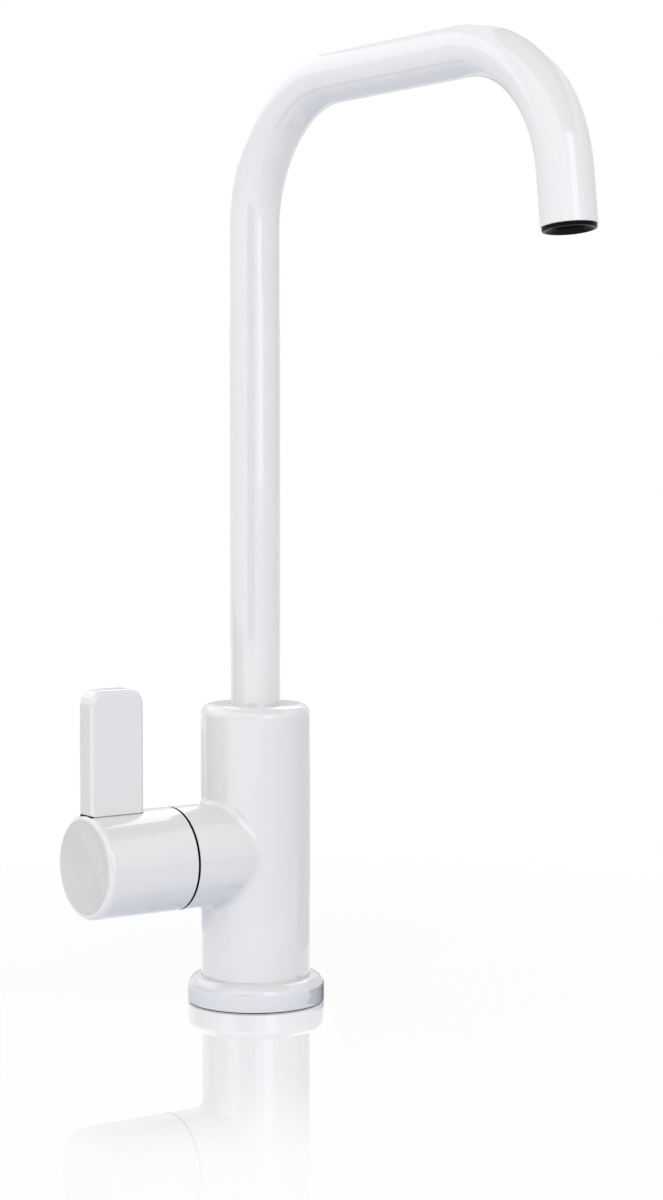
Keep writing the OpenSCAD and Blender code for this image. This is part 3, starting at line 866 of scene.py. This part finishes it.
# %% [markdown]
# ## Barrel and cap of the handle
#
# The handle's barrel carries on the line of the boss across a dark seam. Its outer edge has a 2 mm
# round, and a separate cap with a shallow dish fills the end. A black glide ring fills the seam almost
# to the surface. All three are turned about the valve's axis, which runs out to the left.

# %% Turn the barrel, the cap and the seam ring
on_valve_axis = Matrix.Translation((0, 0, valve_z * mm)) @ Matrix.Rotation(-math.pi / 2, 4, "Y") @ upright
barrel_start = -barrel_high.x
barrel_end = -barrel_low.x
barrel_round = 2.0
barrel_bore = 14.26
hub_start = 39.5
cap_high = extent("handle_end_cap")[1]
cap_r = cap_high.y
cap_seat = -cap_high.x
cap_pocket = cap_r + seat_gap
lathe_piece("barrel", [
    (0, hub_start, 0), (barrel_bore, hub_start, 0), (barrel_bore, barrel_start, 0.2),
    (boss_r, barrel_start, boss_edge), (boss_r, barrel_end, barrel_round), (cap_pocket, barrel_end, 0.02),
    (cap_pocket, cap_seat, 0), (0, cap_seat, 0),
], on_valve_axis, enamel, "handle", "handle_barrel", closed=False)
dish = 1.5
dish_steps = 16
dish_r = (cap_r ** 2 + dish ** 2) / (2 * dish)
skirt_r = cap_r - 1.1
web = cap_seat + 3.2
cap_corners = [(0, web, 0), (skirt_r, web, 0), (skirt_r, cap_seat, 0), (cap_r, cap_seat, 0)]
for k in range(dish_steps + 1):
    r = cap_r * (1 - k / dish_steps)
    cap_corners.append((r, barrel_end - dish + dish_r - math.sqrt(dish_r ** 2 - r ** 2), 0))
# The cap wears the painted-shade copy of the white enamel.
lathe_piece("end_cap", cap_corners, on_valve_axis, cap_enamel, "handle", "handle_end_cap",
            closed=False)
ring_low, ring_high = extent("handle_glide_ring")
ring_bore = barrel_bore + slide_gap
ring_r = boss_r - 0.03
# The ring's black is its own, and its lack of gloss also paints the shade of the seam.
lathe_piece("seam_ring", [
    (ring_bore, -ring_high.x, 0.1), (ring_r, -ring_high.x, 0.02), (ring_r, -ring_low.x, 0.02),
    (ring_bore, -ring_low.x, 0.1),
], on_valve_axis, black_and_gap_shade, "handle", "handle_glide_ring")

# %% [markdown]
# ## The lever
#
# The lever is a flat paddle that stands on the barrel over a thin shadow gap. Its two upper corners are
# rounder than its edges, and its foot follows the round of the barrel. It is built as a stack of
# outlines from front to back: the first and last ones draw in along a quarter circle, which rounds all
# the edges at once. A tenon under the paddle goes down into the barrel.

# %% Shape the lever
lever_low, lever_high = extent("lever_blade")
lever_in = -lever_high.x
lever_out = -lever_low.x
lever_thick = lever_high.y - lever_low.y
lever_top = lever_high.z
lever_corner = 5.0
lever_edge = 1.4
lever_foot = 0.3
lever_gap = 0.2
corner_steps = 8
edge_steps = 6
tenon_w = 6.0
tenon_t = lever_thick - 2.4
tenon_out = cap_seat - 4.5
tenon_top = valve_z + boss_r + 1.0


def round_height(radius, y):
    return valve_z + math.sqrt(radius ** 2 - y * y)


def lever_outline(y, inset):
    foot = round_height(boss_r + lever_gap, y) + lever_foot
    shoulder = lever_top - lever_corner
    corners = [
        (lever_in + lever_foot + inset, foot, lever_foot, 180),
        (lever_out - lever_foot - inset, foot, lever_foot, 270),
        (lever_out - lever_corner, shoulder, lever_corner - inset, 0),
        (lever_in + lever_corner, shoulder, lever_corner - inset, 90),
    ]
    points = []
    for u, z, radius, start in corners:
        for k in range(corner_steps + 1):
            angle = math.radians(start + 90 * k / corner_steps)
            points.append((-(u + radius * math.cos(angle)), y, z + radius * math.sin(angle)))
    return points


def lever_paddle():
    bm = bmesh.new()
    rounds = [math.pi / 2 * (1 - k / edge_steps) for k in range(edge_steps + 1)]
    flat = lever_thick / 2 - lever_edge
    layers = [(-flat - lever_edge * math.sin(t), lever_edge * (1 - math.cos(t))) for t in rounds]
    layers += [(-y, inset) for y, inset in reversed(layers)]
    rings = [ring_of(bm, lever_outline(y, inset)) for y, inset in layers]
    for first, second in zip(rings, rings[1:]):
        bridge(bm, first, second)
    bm.faces.new(rings[0])
    bm.faces.new(rings[-1])
    rise = tenon_top - lever_low.z
    size = Matrix.Diagonal((tenon_w * mm, tenon_t * mm, rise * mm, 1.0))
    centre = Vector((tenon_w / 2 - tenon_out, 0, lever_low.z + rise / 2)) * mm
    bmesh.ops.create_cube(bm, size=1.0, matrix=Matrix.Translation(centre) @ size)
    return bm


piece_from(lever_paddle(), "lever", enamel, "handle", "lever_blade")

# %% [markdown]
# The gap under the lever is dark, and widest at the end of the barrel, where the round falls away. A
# thin black sheet round the lever's tenon fills it, a third of a millimetre inside the edges. It is no
# part of the tap, but painted shadow for the gap. Each section of the sheet runs from its rim to the
# tenon, with the lever's foot above it and the barrel below.

# %% Lay the painted shadow under the lever
pad_inset = 0.35
pad_press = 0.02
side_steps = 12
pad_steps = 8


def barrel_radius_at(u):
    past = max(0.0, u - (barrel_end - barrel_round))
    return boss_r - barrel_round + math.sqrt(barrel_round ** 2 - past ** 2)


def rectangle(u0, u1, half):
    corners = [Vector((u0, -half)), Vector((u1, -half)), Vector((u1, half)), Vector((u0, half))]
    points = []
    for first, second in zip(corners, corners[1:] + corners[:1]):
        points += [first.lerp(second, k / side_steps) for k in range(side_steps)]
    return points


# Painted shadow: a black sheet fills the gap under the lever, where there is only shade.
def lever_gap_shadow():
    bm = bmesh.new()
    rim = rectangle(lever_in + pad_inset, lever_out - pad_inset, lever_thick / 2 - pad_inset)
    hole = rectangle(tenon_out - tenon_w - seat_gap, tenon_out + seat_gap, tenon_t / 2 + seat_gap)
    sections = []
    for outer, inner in zip(rim, hole):
        line = [outer.lerp(inner, k / pad_steps) for k in range(pad_steps + 1)]
        top = [(-u, y, round_height(boss_r + lever_gap + pad_press, y)) for u, y in line]
        foot = [(-u, y, round_height(barrel_radius_at(u) - pad_press, y)) for u, y in line]
        sections.append(ring_of(bm, top + foot[::-1]))
    for first, second in zip(sections, sections[1:] + sections[:1]):
        bridge(bm, first, second)
    return bm


piece_from(lever_gap_shadow(), "lever_gap_shadow", black_and_gap_shade, "handle", None)

# %% [markdown]
# ## Under the worktop
#
# The tap is clamped by a brass tail with a fine thread, a rubber and a steel washer and a hexagon nut,
# and its lower end takes the supply hose on a pipe thread. A thread could be a bump in the material, but
# it would vanish on the outline. Here Geometry Nodes sweep the thread's profile, a trapezium, along a
# spiral and join it to the plain core. The profile starts a little inside the core, and it shrinks over
# the first and last turn, as a cut thread runs out.

# %% A screw thread as a node tree
root_share = 0.84
crest_share = 0.16
sunk_share = 0.2


def worked_out(tree, operation, first, second):
    node = add(tree, "ShaderNodeMath", operation=operation)
    for entry, value in enumerate((first, second)):
        if isinstance(value, tuple):
            wire(tree, *value, node, entry)
        else:
            node.inputs[entry].default_value = value
    return node, "Value"


def thread_tree():
    sizes = {"Core radius": number, "Depth": number, "Pitch": number, "Turns": number,
             "Start height": number, "Steps per turn": whole_number}
    tree, ids, inputs = sized_tree("Screw thread", "Core", sizes, "Threaded")
    pitch, depth, turns = (inputs, "Pitch"), (inputs, "Depth"), (inputs, "Turns")
    spiral = add(tree, "GeometryNodeCurveSpiral")
    wire(tree, inputs, "Steps per turn", spiral, "Resolution")
    wire(tree, inputs, "Turns", spiral, "Rotations")
    wire(tree, inputs, "Core radius", spiral, "Start Radius")
    wire(tree, inputs, "Core radius", spiral, "End Radius")
    wire(tree, *worked_out(tree, "MULTIPLY", pitch, turns), spiral, "Height")
    level = add(tree, "GeometryNodeSetCurveNormal", mode="Z_UP")
    wire(tree, spiral, "Curve", level, "Curve")
    profile = fill(add(tree, "GeometryNodeCurvePrimitiveQuadrilateral", mode="TRAPEZOID"), Offset=0.0)
    wire(tree, *worked_out(tree, "MULTIPLY", pitch, root_share), profile, "Bottom Width")
    wire(tree, *worked_out(tree, "MULTIPLY", pitch, crest_share), profile, "Top Width")
    wire(tree, *worked_out(tree, "MULTIPLY", depth, 1 + sunk_share), profile, "Height")
    outwards = add(tree, "ShaderNodeCombineXYZ")
    wire(tree, *worked_out(tree, "MULTIPLY", depth, (1 - sunk_share) / 2), outwards, "X")
    stand = fill(add(tree, "GeometryNodeTransform"), Rotation=(0.0, 0.0, -math.pi / 2))
    wire(tree, profile, "Curve", stand, "Geometry")
    wire(tree, outwards, "Vector", stand, "Translation")
    along = add(tree, "GeometryNodeSplineParameter")
    left = worked_out(tree, "SUBTRACT", 1.0, (along, "Factor"))
    from_end = worked_out(tree, "MINIMUM", (along, "Factor"), left)
    run_out = fill(add(tree, "ShaderNodeMapRange"), From_Min=0.0, From_Max=1.0, To_Min=0.05, To_Max=1.0)
    wire(tree, *worked_out(tree, "MULTIPLY", from_end, turns), run_out, "Value")
    sweep = fill(add(tree, "GeometryNodeCurveToMesh"), Fill_Caps=True)
    wire(tree, level, "Curve", sweep, "Curve")
    wire(tree, stand, "Geometry", sweep, "Profile Curve")
    wire(tree, run_out, "Result", sweep, "Scale")
    up = add(tree, "ShaderNodeCombineXYZ")
    wire(tree, inputs, "Start height", up, "Z")
    lift = add(tree, "GeometryNodeTransform")
    wire(tree, sweep, "Mesh", lift, "Geometry")
    wire(tree, up, "Vector", lift, "Translation")
    both = add(tree, "GeometryNodeJoinGeometry")
    wire(tree, inputs, "Core", both, "Geometry")
    wire(tree, lift, "Geometry", both, "Geometry")
    end_tree(tree, inputs, both, "Geometry", "Threaded")
    return tree, ids


screw_tree, screw_ids = thread_tree()
print("sizes of a thread:", list(screw_ids))

# %% Cut the tail's two threads
tail_end = -60.0
tail_pitch = 1.5
tail_depth = 0.92
tail_turns = 38.0
tail_start = 1.0
inlet_r = 10.478
inlet_pitch = 1.814
inlet_depth = 1.162
inlet_turns = 7.5
inlet_start = 1.2
water_way = 5.0
tail_core = tail_r - tail_depth
inlet_core = inlet_r - inlet_depth
tail_outline = outline_with_radii([
    (water_way, tail_low.z, 0.3), (inlet_core, tail_low.z, 0.6), (inlet_core, tail_end, 0.2),
    (tail_core, tail_end, 0.6), (tail_core, 0, 0), (tail_r, tail_depth, 0), (tail_r, tail_high.z, 0.4),
    (water_way, tail_high.z, 0.3),
], closed=True)


def thread_sizes(core, depth, pitch, turns, start):
    return {"Core radius": core * mm, "Depth": depth * mm, "Pitch": pitch * mm, "Turns": turns,
            "Start height": start * mm, "Steps per turn": 60, "Finish": brass}


def with_threads(bm, threads):
    core = bpy.data.meshes.new("tail_core")
    bm.to_mesh(core)
    bm.free()
    piece = placed("tail_core", core)
    for values in threads:
        grow(piece, screw_tree, screw_ids, values)
    plain_mesh(piece)
    threaded = bmesh.new()
    threaded.from_mesh(piece.data)
    bpy.data.objects.remove(piece)
    return threaded


fine_thread = thread_sizes(tail_core, tail_depth, tail_pitch, tail_turns, tail_end + tail_start)
pipe_thread = thread_sizes(inlet_core, inlet_depth, inlet_pitch, inlet_turns, tail_low.z + inlet_start)
tail_mesh = with_threads(turned(tail_outline, True, upright, small_sides), [fine_thread, pipe_thread])
piece_from(tail_mesh, "tail", brass, "tap", "threaded_tail")

# %% [markdown]
# The washers are turned like the flange. The nut is a hexagon whose corners are cut back by a cone of 30
# degrees at both ends, as on every machined nut: at each level a point lies on the flat or on the cone,
# whichever is nearer to the axis.

# %% Washers and nut
nut_low, nut_high = extent("back_nut")
nut_hole = tail_r + seat_gap
nut_mouth = 0.8
nut_face = 0.97
nut_slope = math.tan(math.radians(30))
nut_points = 120
nut_steps = 6
nut_turns = [2 * math.pi * k / nut_points for k in range(nut_points)]


def washer(name, node, material, edge):
    low, high = extent(node)
    spots = [(shank_r, low.z), (high.x, low.z), (high.x, high.z), (shank_r, high.z)]
    corners = [(r, z, edge) for r, z in spots]
    lathe_piece(name, corners, upright, material, "tap", node, sides=small_sides)


def nut_ring(bm, radius_at, z):
    return ring_of(bm, [(radius_at(t) * math.cos(t), radius_at(t) * math.sin(t), z) for t in nut_turns])


def hexagon_nut():
    bm = bmesh.new()
    flat = nut_high.y
    face_r = flat * nut_face
    rise = (nut_high.x - face_r) * nut_slope
    levels = [nut_low.z + rise * k / nut_steps for k in range(nut_steps + 1)]
    levels += [nut_high.z - rise * k / nut_steps for k in range(nut_steps, -1, -1)]
    rings = [nut_ring(bm, lambda t: nut_hole, nut_low.z + nut_mouth)]
    rings.append(nut_ring(bm, lambda t: nut_hole + nut_mouth, nut_low.z))
    for z in levels:
        cone = face_r + min(z - nut_low.z, nut_high.z - z) / nut_slope
        rings.append(nut_ring(bm, lambda t: min(cone, flat / math.cos(t % (math.pi / 3) - math.pi / 6)), z))
    rings.append(nut_ring(bm, lambda t: nut_hole + nut_mouth, nut_high.z))
    rings.append(nut_ring(bm, lambda t: nut_hole, nut_high.z - nut_mouth))
    for first, second in zip(rings, rings[1:] + rings[:1]):
        bridge(bm, first, second)
    return bm


washer("rubber_washer", "deck_rubber_washer", black_rubber, 0.6)
washer("steel_washer", "deck_steel_washer", steel, 0.25)
piece_from(hexagon_nut(), "clamp_nut", brass, "tap", "back_nut")

# %% [markdown]
# ## The studio floor
#
# The floor is white acrylic, and the studio is given in metres. Seen by the camera or in a reflection,
# the floor glows at a strength of one, which is white. Near the tap an eighth of it is lit paper
# instead, which keeps the soft shadow. For light that bounces on to the tap it is a cool white. Within
# about 12 cm of the tap that bounce colour is painted darker and bluer, as painted shade, so undersides
# turn a little blue, and the gloss close to the foot shows that tone too. In front of the foot the
# camera also sees a mirror image, which fades within 20 cm. A mirror all over would be simpler, but it
# would double the tap from every side. So the mirror is a patch in front of the tap and fades when it is
# seen from above. From below the floor is clear.

# %% Nodes that measure and mix


def measured_along(tree, place, direction):
    along = add(tree, "ShaderNodeVectorMath", operation="DOT_PRODUCT")
    along.inputs[1].default_value = direction
    wire(tree, place, "Object", along, 0)
    return along


def eased(tree, source, span, values, output="Value"):
    ease = add(tree, "ShaderNodeMapRange", interpolation_type="SMOOTHSTEP")
    fill(ease, From_Min=span[0], From_Max=span[1], To_Min=values[0], To_Max=values[1])
    wire(tree, source, output, ease, "Value")
    return ease, "Result"


def combined(tree, operation, factors):
    total = factors[0]
    for factor in factors[1:]:
        total = worked_out(tree, operation, total, factor)
    return total


def seen_directly(tree, path):
    rays = ("Is Camera Ray", "Is Glossy Ray", "Is Transmission Ray")
    return combined(tree, "MAXIMUM", [(path, ray) for ray in rays])


def mixed(tree, share, first, second):
    mix = add(tree, "ShaderNodeMixShader")
    for entry, source in enumerate((share, first, second)):
        wire(tree, *source, mix, entry)
    return mix, "Shader"


print("the mirror lies towards", [round(v, 3) for v in toward_camera])

# %% Lay the floor
floor_size = 12.0
floor_drop = 0.05 * mm
white = (1.0, 1.0, 1.0, 1.0)


def floor_material():
    material, tree = new_material("white_acrylic")
    bounce = add(tree, "ShaderNodeBsdfDiffuse")
    lit = fill(add(tree, "ShaderNodeBsdfDiffuse"), Color=(0.86, 0.88, 0.92, 1.0))
    glow = fill(add(tree, "ShaderNodeEmission"), Color=white, Strength=1.0)
    mirror = fill(add(tree, "ShaderNodeBsdfGlossy"), Color=white, Roughness=0.0)
    place = add(tree, "ShaderNodeTexCoord")
    path = add(tree, "ShaderNodeLightPath")
    away = add(tree, "ShaderNodeVectorMath", operation="LENGTH")
    wire(tree, place, "Object", away, 0)
    # Painted shade: the bounce colour turns darker and bluer close to the tap.
    bounce_painted_shade = add(tree, "ShaderNodeMix", data_type="RGBA")
    wire(tree, *eased(tree, away, (0.03, 0.12), (0.0, 1.0)), bounce_painted_shade, "Factor")
    bounce_painted_shade.inputs[mix_first].default_value = (0.68, 0.72, 0.84, 1.0)
    bounce_painted_shade.inputs[mix_second].default_value = (0.72, 0.74, 0.79, 1.0)
    wire(tree, bounce_painted_shade, mix_result, bounce, "Color")
    seen_share = eased(tree, away, (0.05, 0.40), (0.88, 1.0))
    gloss_share = eased(tree, away, (0.028, 0.055), (0.35, 1.0))
    ahead = measured_along(tree, place, toward_camera)
    beside = measured_along(tree, place, beside_camera)
    slant = fill(add(tree, "ShaderNodeLayerWeight"), Blend=0.5)
    patch = [
        eased(tree, ahead, (-0.01, 0.0), (0.0, 1.0)),
        eased(tree, ahead, (0.085, 0.20), (0.53, 0.05)),
        eased(tree, beside, (-0.10, -0.08), (0.0, 1.0)),
        eased(tree, beside, (0.0225, 0.026), (1.0, 0.0)),
        eased(tree, slant, (0.45, 0.68), (0.0, 1.0), "Facing"),
    ]
    polish = combined(tree, "MULTIPLY", [*patch, (path, "Is Camera Ray")])
    paper = mixed(tree, seen_share, (lit, "BSDF"), (glow, "Emission"))
    polished = mixed(tree, polish, paper, (mirror, "BSDF"))
    in_gloss = mixed(tree, gloss_share, (bounce, "BSDF"), (glow, "Emission"))
    shown = mixed(tree, (path, "Is Glossy Ray"), polished, in_gloss)
    above = mixed(tree, seen_directly(tree, path), (bounce, "BSDF"), shown)
    side = add(tree, "ShaderNodeNewGeometry")
    clear = add(tree, "ShaderNodeBsdfTransparent")
    to_surface(tree, *mixed(tree, (side, "Backfacing"), above, (clear, "BSDF")))
    return material


def flat_card(name, width, height, place, material):
    mesh = bpy.data.meshes.new(name)
    x, y = width / 2, height / 2
    mesh.from_pydata([(-x, -y, 0), (x, -y, 0), (x, y, 0), (-x, y, 0)], [], [(0, 1, 2, 3)])
    mesh.materials.append(material)
    card = placed(name, mesh)
    card.matrix_world = place
    card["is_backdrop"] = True
    return card


floor_place = Matrix.Translation((0.0, 0.0, -floor_drop))
floor = flat_card("studio_floor", floor_size, floor_size, floor_place, floor_material())
print("floor:", [round(v, 2) for v in floor.dimensions])

# %% [markdown]
# ## The light
#
# A white object looks white when soft light comes from everywhere, so most of the light is the world,
# plain white at a level at which a colour renders about as it is written. Seen by the camera or in a
# reflection the world is white too. One large soft lamp near the camera keeps the front as bright as the
# top. It doesn't show in the gloss, because the cards of the next step draw the highlights.

# %% World and lamp


def white_world():
    world = bpy.data.worlds.new("white_studio")
    world.use_nodes = True
    tree = world.node_tree
    tree.nodes.clear()
    soft = fill(add(tree, "ShaderNodeBackground"), Color=white, Strength=0.85)
    shown = fill(add(tree, "ShaderNodeBackground"), Color=white, Strength=1.0)
    path = add(tree, "ShaderNodeLightPath")
    both = mixed(tree, seen_directly(tree, path), (soft, "Background"), (shown, "Background"))
    wire(tree, *both, add(tree, "ShaderNodeOutputWorld"), "Surface")
    return world


def around_tap(turn_degrees, away, height):
    turn = math.radians(turn_degrees)
    return Vector((math.sin(turn) * away, -math.cos(turn) * away, height))


def soft_lamp(name, spot, look_at, size, watts):
    data = bpy.data.lights.new(name, "AREA")
    data.size = size
    data.energy = watts
    light = placed(name, data)
    light.location = spot
    light.rotation_euler = (Vector((0, 0, look_at)) - spot).to_track_quat("-Z", "Y").to_euler()
    light.visible_glossy = False
    return light


scene.world = white_world()
fill_lamp = soft_lamp("front_fill", around_tap(-48, 1.8, 0.55), look_at=0.15, size=1.3, watts=15.0)
print("lamp:", fill_lamp.name, fill_lamp.data.energy, "W")

# %% [markdown]
# ## The cards
#
# A white tap on white acrylic would lose its edges and show no gloss. Photographers stand cards just
# outside the picture: bright ones draw highlights, and grey ones, called flags, draw soft dark edges.
# More lamps could do the first part, but a card that shows in the gloss alone leaves the level of the
# light as it is. Only the right flag also takes light away from the side that faces it. The camera
# doesn't see the cards, and neither does a perfectly sharp ray, which keeps the floor's mirror clean.
#
# The three boxes are bright: one high up at the back right, one at the back left, and a tall one in
# front, which draws the streak down the tube. Three large flags darken the gloss in front, on the right
# and at the back.

# %% Cards that face the tap


def card_material(name, tone):
    material, tree = new_material(name)
    glow = fill(add(tree, "ShaderNodeEmission"), Color=(*tone, 1.0), Strength=1.0)
    clear = add(tree, "ShaderNodeBsdfTransparent")
    path = add(tree, "ShaderNodeLightPath")
    to_surface(tree, *mixed(tree, (path, "Is Singular Ray"), (glow, "Emission"), (clear, "BSDF")))
    return material


def gloss_card(name, place, size, tone, shades=False):
    card = flat_card(name, *size, place, card_material(name + "_tone", tone))
    card.visible_camera = False
    card.visible_shadow = False
    card.visible_diffuse = shades


def facing_card(name, spot, size, tone, look_at=None, shades=False):
    aim = Vector((0, 0, spot.z if look_at is None else look_at)) - spot
    facing = aim.to_track_quat("Z", "Y").to_matrix().to_4x4()
    gloss_card(name, Matrix.Translation(spot) @ facing, size, tone, shades)


facing_card("top_box", around_tap(132, 1.06, 1.12), (1.1, 1.1), (1.9, 1.9, 1.97), look_at=0.06)
facing_card("left_box", around_tap(-157, 0.8, 0.72), (1.2, 0.55), (1.40, 1.40, 1.50))
facing_card("streak_box", around_tap(-8, 1.2, 0.60), (0.45, 0.9), (1.7, 1.7, 1.80))
facing_card("camera_flag", around_tap(-52, 1.6, 0.20), (1.0, 0.8), (0.25, 0.25, 0.26))
facing_card("right_flag", around_tap(96, 1.3, 0.60), (1.0, 0.9), (0.90, 0.90, 0.92), shades=True)
facing_card("back_flag", around_tap(146, 1.5, 0.15), (1.2, 0.30), (0.70, 0.70, 0.72))

# %% [markdown]
# Low flags beside the tap shade the edges of the column and the right end of the flange. Four more lie
# level, as a darker ceiling and as darker patches of floor.

# %% Low and level cards


def side_card(name, x, y_range, tall, tone):
    spot = Vector((x, sum(y_range) / 2, tall / 2))
    facing = Matrix.Rotation(math.copysign(math.pi / 2, -x), 4, "Y")
    gloss_card(name, Matrix.Translation(spot) @ facing, (tall, y_range[1] - y_range[0]), tone)


def level_card(name, x_range, y_range, height, tone):
    spot = Vector((sum(x_range) / 2, sum(y_range) / 2, height))
    gloss_card(name, Matrix.Translation(spot), (x_range[1] - x_range[0], y_range[1] - y_range[0]), tone)


side_card("left_low_flag", -0.17, (0.0, 0.45), 0.11, (0.55, 0.55, 0.46))
side_card("right_low_flag", 0.10, (-0.06, 0.05), 0.085, (0.78, 0.79, 0.83))
side_card("edge_flag", 0.027, (-0.03, 0.002), 0.005, (0.03, 0.03, 0.07))
level_card("ceiling_flag", (-0.9, 0.9), (-1.8, 0.5), 1.5, (0.50, 0.50, 0.51))
level_card("foot_flag", (0.011, 0.04), (-0.026, 0.012), 0.3 * mm, (0.03, 0.03, 0.07))
level_card("under_flag", (-0.13, 0.5), (0.12, 0.8), 2 * mm, (0.75, 0.77, 0.85))
level_card("front_flag", (-0.3, 0.9), (-1.2, -0.16), 2 * mm, (0.84, 0.84, 0.84))

# %% [markdown]
# ## Check the size
#
# The dressed tap has to fill the same box as the solids.

# %% Compare the boxes
dressed_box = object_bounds()
for before, after in zip(solid_box, dressed_box):
    print("corner moved by", [round((b - a) / mm, 2) for a, b in zip(before, after)], "mm")
